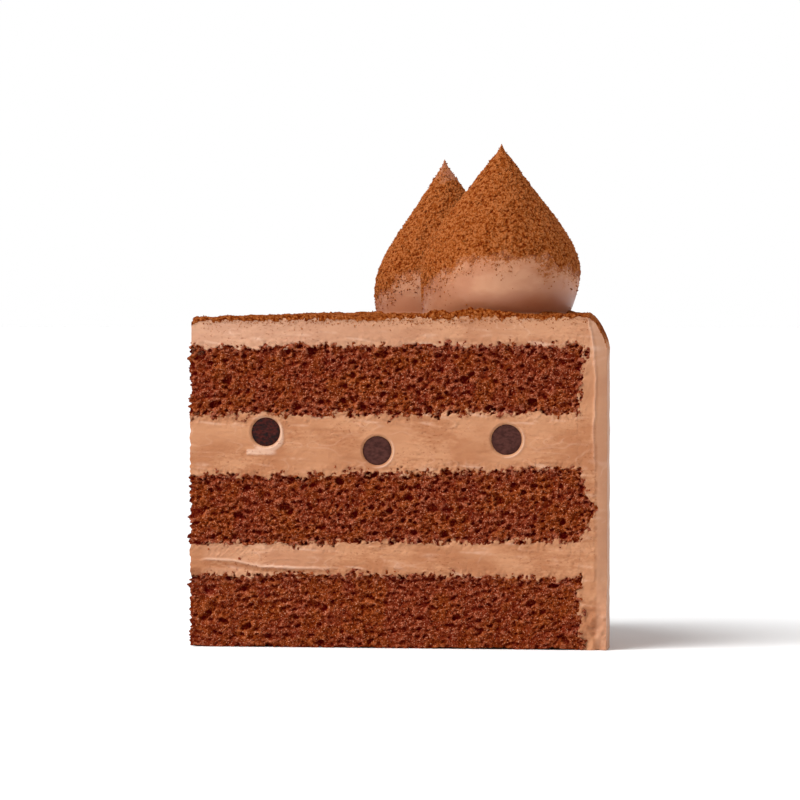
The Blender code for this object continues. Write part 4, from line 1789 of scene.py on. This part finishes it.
def main() -> None:
    """Builds the slice's pieces in order, then the studio."""
    logging.basicConfig(level=logging.INFO, format="%(relativeCreated)d ms: %(message)s")
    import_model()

    plan = SlicePlan()
    seeds = {Side.SEEN: 11, Side.FAR: 47}
    faces = {side: FaceRelief(plan, side, seed) for side, seed in seeds.items()}
    LOG.info("cut faces worked out")
    sponge = SpongeFinish().material()
    cream = CreamFinish().material()
    cocoa = CreamFinish("cocoa_powder", 0.03, streaky=False).material()
    # The third piped colour paints the cocoa film and the painted shade round the dollops' feet
    piped_colours = linear(188, 134, 100), linear(176, 118, 85), linear(146, 82, 50)
    piped_cream = CreamFinish("piped_cream", 0.4, *piped_colours, sheen=0.12, streaky=False).material()
    piped_cocoa = CreamFinish("piped_cocoa", 0.03, *piped_colours, streaky=False).material()
    chocolate = ChocolateFinish().material()
    speckled = ChocolateFinish("dark_chocolate_speckled", linear(14, 0, 0), linear(64, 12, 4), 0.5).material()

    layers = (
        Layer(plan, "sponge_bottom", Food.SPONGE, Level.TABLE, Level.SPONGE_1_TOP, spacing=0.18),
        Layer(plan, "filling_lower", Food.CREAM, Level.SPONGE_1_TOP, Level.FILLING_1_TOP, spacing=0.2),
        Layer(plan, "sponge_middle", Food.SPONGE, Level.FILLING_1_TOP, Level.SPONGE_2_TOP, spacing=0.18),
        Layer(plan, "filling_upper", Food.CREAM, Level.SPONGE_2_TOP, Level.FILLING_2_TOP, spacing=0.18),
        Layer(plan, "sponge_top", Food.SPONGE, Level.FILLING_2_TOP, Level.SPONGE_3_TOP, spacing=0.18),
    )
    for layer in layers:
        if layer.food is Food.SPONGE:
            layer.build(faces, sponge, "chocolate_sponge")
        else:
            layer.build(faces, cream, "chocolate_cream")
    coat = Coat(plan)
    coat.build(faces, cream, cocoa)
    for place in BALLS:
        ChocolateBall(plan, place).build(speckled if place.number == 1 else chocolate)
    front_turn, back_turn = plan.dollop_turns
    dollops = (
        Dollop(
            plan, "dollop_front", front_turn, height=35.7, belly=16.7, belly_height=8.6, foot=14.7,
            lean=(0.2, 0.3), dust_front=13.0, dust_left=4.2, dust_right=9.5, bare_tip=99, seed=301,
            pressed_left=0.9,
        ),
        Dollop(
            plan, "dollop_back", back_turn, height=32.9, belly=15.5, belly_height=4.2, foot=15.2,
            lean=(-0.5, 0.2), dust_front=10.0, dust_left=2.0, dust_right=8.0, bare_tip=29.0, seed=302,
        ),
    )
    for dollop in dollops:
        dollop.build(piped_cream, piped_cocoa)
    dusting = Dusting(plan)
    on_dollops = Grains("cocoa_grains_on_dollops", "cocoa_dusted_cream", seed=1)
    on_dollops.build(*dusting.dollop_grains(dollops), cocoa)
    on_coat = Grains("cocoa_grains_on_coat", "cocoa_dusted_cream", seed=2)
    on_coat.build(*dusting.coat_grains(coat, faces), cocoa)
    loose_crumbs = Grains("sponge_crumbs", "chocolate_sponge", seed=3, corners=2)
    loose_crumbs.build(*dusting.face_crumbs(faces), sponge)

    Studio().build()
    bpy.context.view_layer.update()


if __name__ == "__main__":
    main()
